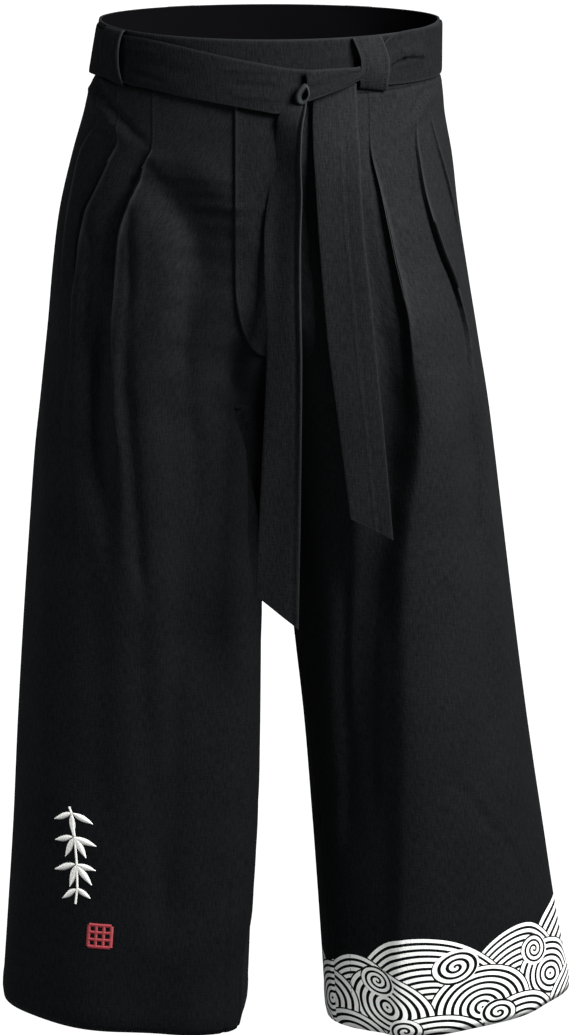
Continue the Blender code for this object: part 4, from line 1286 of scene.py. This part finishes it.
# %% [markdown]
# ## The knot
# The knot is one flat turn: the squeezed belt comes from the right, folds over its own
# edge and goes down behind. Its turned edge opens into a small loop, like an eye, with a
# dark hollow. The eye is made as a bent sheet, because that is what it is.

# %% Knot: its eye
EYE_CENTRE = (31.3, -29.6)      # x and z in mm
EYE_HALF = (4.5, 7.4)           # to the middle of its rolled rim
HOLLOW_SHIFT = 1.0              # the hollow sits to the right of the rim's middle
RIM_HALF, RIM_BULGE = 2.5, 3.4
EYE_DEPTH = 128.0
EYE_THICKNESS = 0.9
EYE_POINTED, EYE_THIN = 0.34, 0.3   # how much narrower its top is, and thinner its right side
EYE_LEAN, EYE_TIP, EYE_SINK = 1.6, 0.8, 3.0     # mm sideways, forward, and into the hollow
EYE_FLAT = (0.045, 0.014)       # metres of cloth round the rim and over it
EYE_INSIDE = -0.122             # metres, behind its face
EYE_WEAR = (0.9, 0.9)           # and how much of the roll it takes, in radians
ROLL = (-50, 210)               # degrees over the rim, from the hollow to the outside
EYE_COLUMNS, EYE_ROWS = 72, 20


def eye_point(column, row):
    """The rolled rim: round the eye by column, and over the roll by row."""
    turn = tau * column / EYE_COLUMNS
    roll = radians(ROLL[0] + (ROLL[1] - ROLL[0]) * row / EYE_ROWS)
    narrow = 1 - EYE_POINTED * max(cos(turn), 0.0)
    wall = RIM_HALF * (1 - EYE_THIN * max(sin(turn), 0.0))
    outward = Vector((sin(turn) / EYE_HALF[0], cos(turn) / EYE_HALF[1])).normalized()
    reach = outward * -wall * cos(roll)
    x = EYE_CENTRE[0] + EYE_HALF[0] * sin(turn) * narrow + EYE_LEAN * cos(turn) + reach.x
    x += HOLLOW_SHIFT / 2 * cos(roll)
    z = EYE_CENTRE[1] + EYE_HALF[1] * cos(turn) + reach.y
    depth = EYE_DEPTH + RIM_BULGE * sin(roll) + EYE_TIP * cos(turn)
    depth -= EYE_SINK * fade(-roll, 0.1, 0.85)
    flat = (column / EYE_COLUMNS * EYE_FLAT[0], row / EYE_ROWS * EYE_FLAT[1])
    return Point(Vector((x, -depth, z)) * MM, flat, relief(EYE_WEAR, roll - 1.7))


eye = cloth_sheet("belt_knot", EYE_COLUMNS, EYE_ROWS, eye_point,
                  (EYE_CENTRE[0] * MM, EYE_INSIDE, EYE_CENTRE[1] * MM), black_cloth,
                  EYE_THICKNESS, rounding=0.0)

# %% [markdown]
# ## Sewing
# A stitch is a short thread that dips into the cloth at both ends, so a stretched sphere
# does for it. A row of stitches follows a path, and a path is a function from millimetres
# to a place and the direction that faces away from the cloth there. All rows on one piece
# go into one mesh.

# %% Stitches and rows of stitches
STITCH, STITCH_GAP, THREAD_THICK = 3.0, 1.4, 0.55      # mm

def thread(name, colour, roughness, specular):
    return new_material(name, Base_Color=linear(colour), Roughness=roughness,
                        Specular_IOR_Level=specular)[0]


# Black sewing cotton, and stranded silk for the embroidery.
black_thread = thread("black_cotton_thread", "#0f1012", 0.9, 0.05)
white_silk = thread("white_silk_thread", "#dddcd7", 0.5, 0.3)
red_silk = thread("red_silk_thread", "#8a3036", 0.5, 0.3)


def add_stitch(bm, start, end, away, thick):
    """One stitch from start to end (metres). away faces out of the cloth, thick is in mm."""
    run = end - start
    right = away.cross(run).normalized()
    up = run.cross(right).normalized()
    half = thick * MM / 2
    matrix = Matrix([(run[i] / 2, right[i] * half, up[i] * half, (start[i] + end[i]) / 2)
                     for i in range(3)] + [(0, 0, 0, 1)])
    bmesh.ops.create_icosphere(bm, subdivisions=1, radius=1.0, matrix=matrix)


def thread_object(name, bm, material):
    for face in bm.faces:
        face.smooth = True
    made = mesh_object(name, bm, material, groups["garment"], groups["bright_side"])
    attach(made, "root")
    return made


def sew(name, paths):
    """Rows of stitches. Each path is (function of mm to (place, away), length in mm)."""
    bm = bmesh.new()
    pitch = STITCH + STITCH_GAP
    for path, length in paths:
        for index in range(int(length / pitch)):
            (start, away), (end, _) = path(index * pitch), path(index * pitch + STITCH)
            add_stitch(bm, start, end, away, THREAD_THICK)
    thread_object(name, bm, black_thread)


def on_panel(side, drop, angle, lift):
    """(place, away) lift mm above a panel, with its folds."""
    cut = level_cut(side, drop)
    ends = (0.0, seam_angle(cut, "front" if angle < 0 else "back"))
    out, slide, _ = panel_relief(cut, edges_at(cut), soft_at(cut), angle, ends)
    place = on_cut(cut, angle + side * slide / radius_at(cut, angle), out + lift)
    return place, (place - Vector((side * cut.centre * MM, 0, place.z))).normalized()


# %% Rows at the hems, beside the inseams, above the pleats, on the loops and on the placket
ROW_LIFT = 0.1                  # mm over the cloth
HEM_ROW_END, HEM_ROW_STEPS = 0.02, 400      # radians short of the inseam, and steps round
INSEAM_ROW, INSEAM_ROW_TOP = -141.0, 560.0  # degrees round the leg, and its drop
PLEAT_ROW_START, PLEAT_ROW_IN = 2.0, 2.0    # mm under the waistband and in from the edge
LOOP_ROW_START, LOOP_ROW_SHARE, LOOP_ROW_LIFT = 0.06, 0.88, 0.3     # shares of a loop, and mm
PLACKET_ROW_IN, PLACKET_ROW_SHARE, PLACKET_ROW_LIFT = 5.0, 0.93, 0.3


def hem_row(side):
    """All round a leg, from the inseam over the front to the inseam again."""
    cut = level_cut(side, HEM - HEM_ALLOWANCE)
    first = seam_angle(cut, "front") + HEM_ROW_END
    last = seam_angle(cut, "back") - HEM_ROW_END
    angles = [first + (last - first) * i / HEM_ROW_STEPS for i in range(HEM_ROW_STEPS + 1)]
    places = [on_cut(cut, angle) for angle in angles]
    runs = [0.0]
    for before, after in zip(places, places[1:]):
        runs.append(runs[-1] + (after - before).length / MM)

    def path(distance):
        index = min(max(i for i, run in enumerate(runs) if run <= distance), HEM_ROW_STEPS - 1)
        share = (distance - runs[index]) / (runs[index + 1] - runs[index])
        angle = angles[index] + (angles[index + 1] - angles[index]) * min(share, 1.0)
        return on_panel(side, cut.drop, angle, ROW_LIFT)

    return path, runs[-1]


def pleat_row(side, rows, tip):
    """The line that holds a pleat shut above its tip."""
    def path(distance):
        drop = BAND_BOTTOM + PLEAT_ROW_START + distance
        angle = radians(along(rows, "angle", drop))
        angle += side * PLEAT_ROW_IN / radius_at(level_cut(side, drop), angle)
        return on_panel(side, drop, angle, ROW_LIFT)

    return path, tip - BAND_BOTTOM - PLEAT_ROW_START


def inseam_row(side):
    """Beside the inseam, from the knee down to the hem's stitches."""
    def path(distance):
        return on_panel(side, INSEAM_ROW_TOP + distance, radians(INSEAM_ROW), ROW_LIFT)

    return path, HEM - HEM_ALLOWANCE - INSEAM_ROW_TOP - 5


def loop_row(loop, edge):
    def path(distance):
        across = edge * (1 - 2 * LOOP_STITCH_IN / LOOP_WIDTH)
        share = LOOP_ROW_START + distance / LOOP_LENGTH
        place = loop_point(loop, across, share, LOOP_ROW_LIFT)
        return place, Vector((place.x, place.y, 0)).normalized()

    return path, LOOP_ROW_SHARE * LOOP_LENGTH


def placket_row():
    length = PLACKET_BOTTOM - BAND_BOTTOM

    def path(distance):
        row = PLACKET_ROWS * distance / length
        left, right = placket_point(0, row).place, placket_point(PLACKET_COLUMNS, row).place
        column = PLACKET_COLUMNS * PLACKET_ROW_IN * MM / max((right - left).length, 0.006)
        away = Vector((0, -1, 0))
        return placket_point(column, row).place + away * PLACKET_ROW_LIFT * MM, away

    return path, PLACKET_ROW_SHARE * length


for side_name, side in (("right", RIGHT), ("left", LEFT)):
    pleat_rows = [pleat_row(side, *pleat) for pleat in zip(PLEATS[side], TIP_DROPS[side])]
    sew(f"{side_name}_leg_stitches", [hem_row(side), inseam_row(side), *pleat_rows])
sew("loop_stitches", [loop_row(loop, edge) for loop in LOOPS for edge in (-1, 1)])
sew("placket_stitches", [placket_row()])

# %% [markdown]
# ## Embroidery
# The right leg has a sprig of bamboo in white satin stitch, with a small red lattice under
# it. In satin stitch the threads lie side by side across the shape. So a leaf is a row of
# stitches whose length swells and shrinks along the leaf, each a little slanted, and a
# bar of the lattice is a row of equal ones.

# %% The sprig and the lattice
# Leaves: where one starts (mm to the right of and above the sprig's middle), its length,
# its width, and its direction in degrees, where 0 is right and -90 is down.
Leaf = namedtuple("Leaf", "right up length width way")
LEAVES = named(
    Leaf,
    (-4, 44, 23, 7.6, -24), (-5, 43, 22, 7.6, -84), (-5, 44, 21, 7.0, -155),
    (-2, 20, 25, 8.0, -16), (-1, 20, 24, 8.2, -56), (-2, 19, 22, 7.8, -112),
    (-3, 20, 21, 7.2, -163), (3, -7, 20, 7.4, -12), (3, -8, 25, 8.2, -48), (2, -8, 24, 8.0, -103),
    (1, -7, 25, 7.8, -158), (5, -31, 17, 6.8, -32), (4, -32, 19, 7.2, -141),
)
STEM = [(-8, 50), (-5, 43), (-1, 20), (3, -8), (5, -31), (4, -48)]
SATIN_PITCH, SATIN_THICK, SATIN_LIFT = 0.9, 1.1, 0.25      # mm
SPRIG_MIDDLE, LATTICE_MIDDLE = (760.0, -63.5), (837.0, -78.4)   # drop, and degrees round
LEAF_TIP, LEAF_SLANT, STEM_WIDTH, STEM_SLANT = 0.12, 0.35, 3.0, 0.2
LATTICE_HALF, OUTER_BAR, INNER_BAR = 11.0, 4.6, 4.0


def on_right_front(right, up, drop, angle):
    """(place, away) on the right front, right and up mm from a middle."""
    level = drop - up
    turned = radians(angle) - right / radius_at(level_cut(RIGHT, level), radians(angle))
    return on_panel(RIGHT, level, turned, SATIN_LIFT)


def satin(bm, start, end, width_at, slant, middle):
    """Stitches side by side from start to end, as wide as width_at(share) says."""
    start, end = Vector(start), Vector(end)
    length, way = (end - start).length, (end - start).normalized()
    over = Vector((-way.y, way.x)) + way * slant
    for index in range(max(int(length / SATIN_PITCH), 1)):
        share = (index + 0.5) * SATIN_PITCH / length
        spot = start + (end - start) * share
        half = over * width_at(share) / 2
        low, away = on_right_front(*(spot - half), *middle)
        high, _ = on_right_front(*(spot + half), *middle)
        add_stitch(bm, low, high, away, SATIN_THICK)


bm = bmesh.new()
for leaf in LEAVES:
    way = radians(leaf.way)
    tip = (leaf.right + leaf.length * cos(way), leaf.up + leaf.length * sin(way))
    satin(bm, (leaf.right, leaf.up), tip,
          lambda share: leaf.width * max(sin(pi * share**0.8), LEAF_TIP), LEAF_SLANT, SPRIG_MIDDLE)
for start, end in zip(STEM, STEM[1:]):
    satin(bm, start, end, lambda share: STEM_WIDTH, STEM_SLANT, SPRIG_MIDDLE)
sprig = thread_object("embroidered_sprig", bm, white_silk)

bm = bmesh.new()
for step in (-3, -1, 1, 3):
    bar, half = step * LATTICE_HALF / 3, LATTICE_HALF
    wide = OUTER_BAR if abs(step) == 3 else INNER_BAR
    for start, end in (((bar, -half), (bar, half)), ((-half, bar), (half, bar))):
        satin(bm, start, end, lambda share: wide, 0.0, LATTICE_MIDDLE)
lattice = thread_object("embroidered_lattice", bm, red_silk)
print("embroidery vertices:", len(sprig.data.vertices), len(lattice.data.vertices))
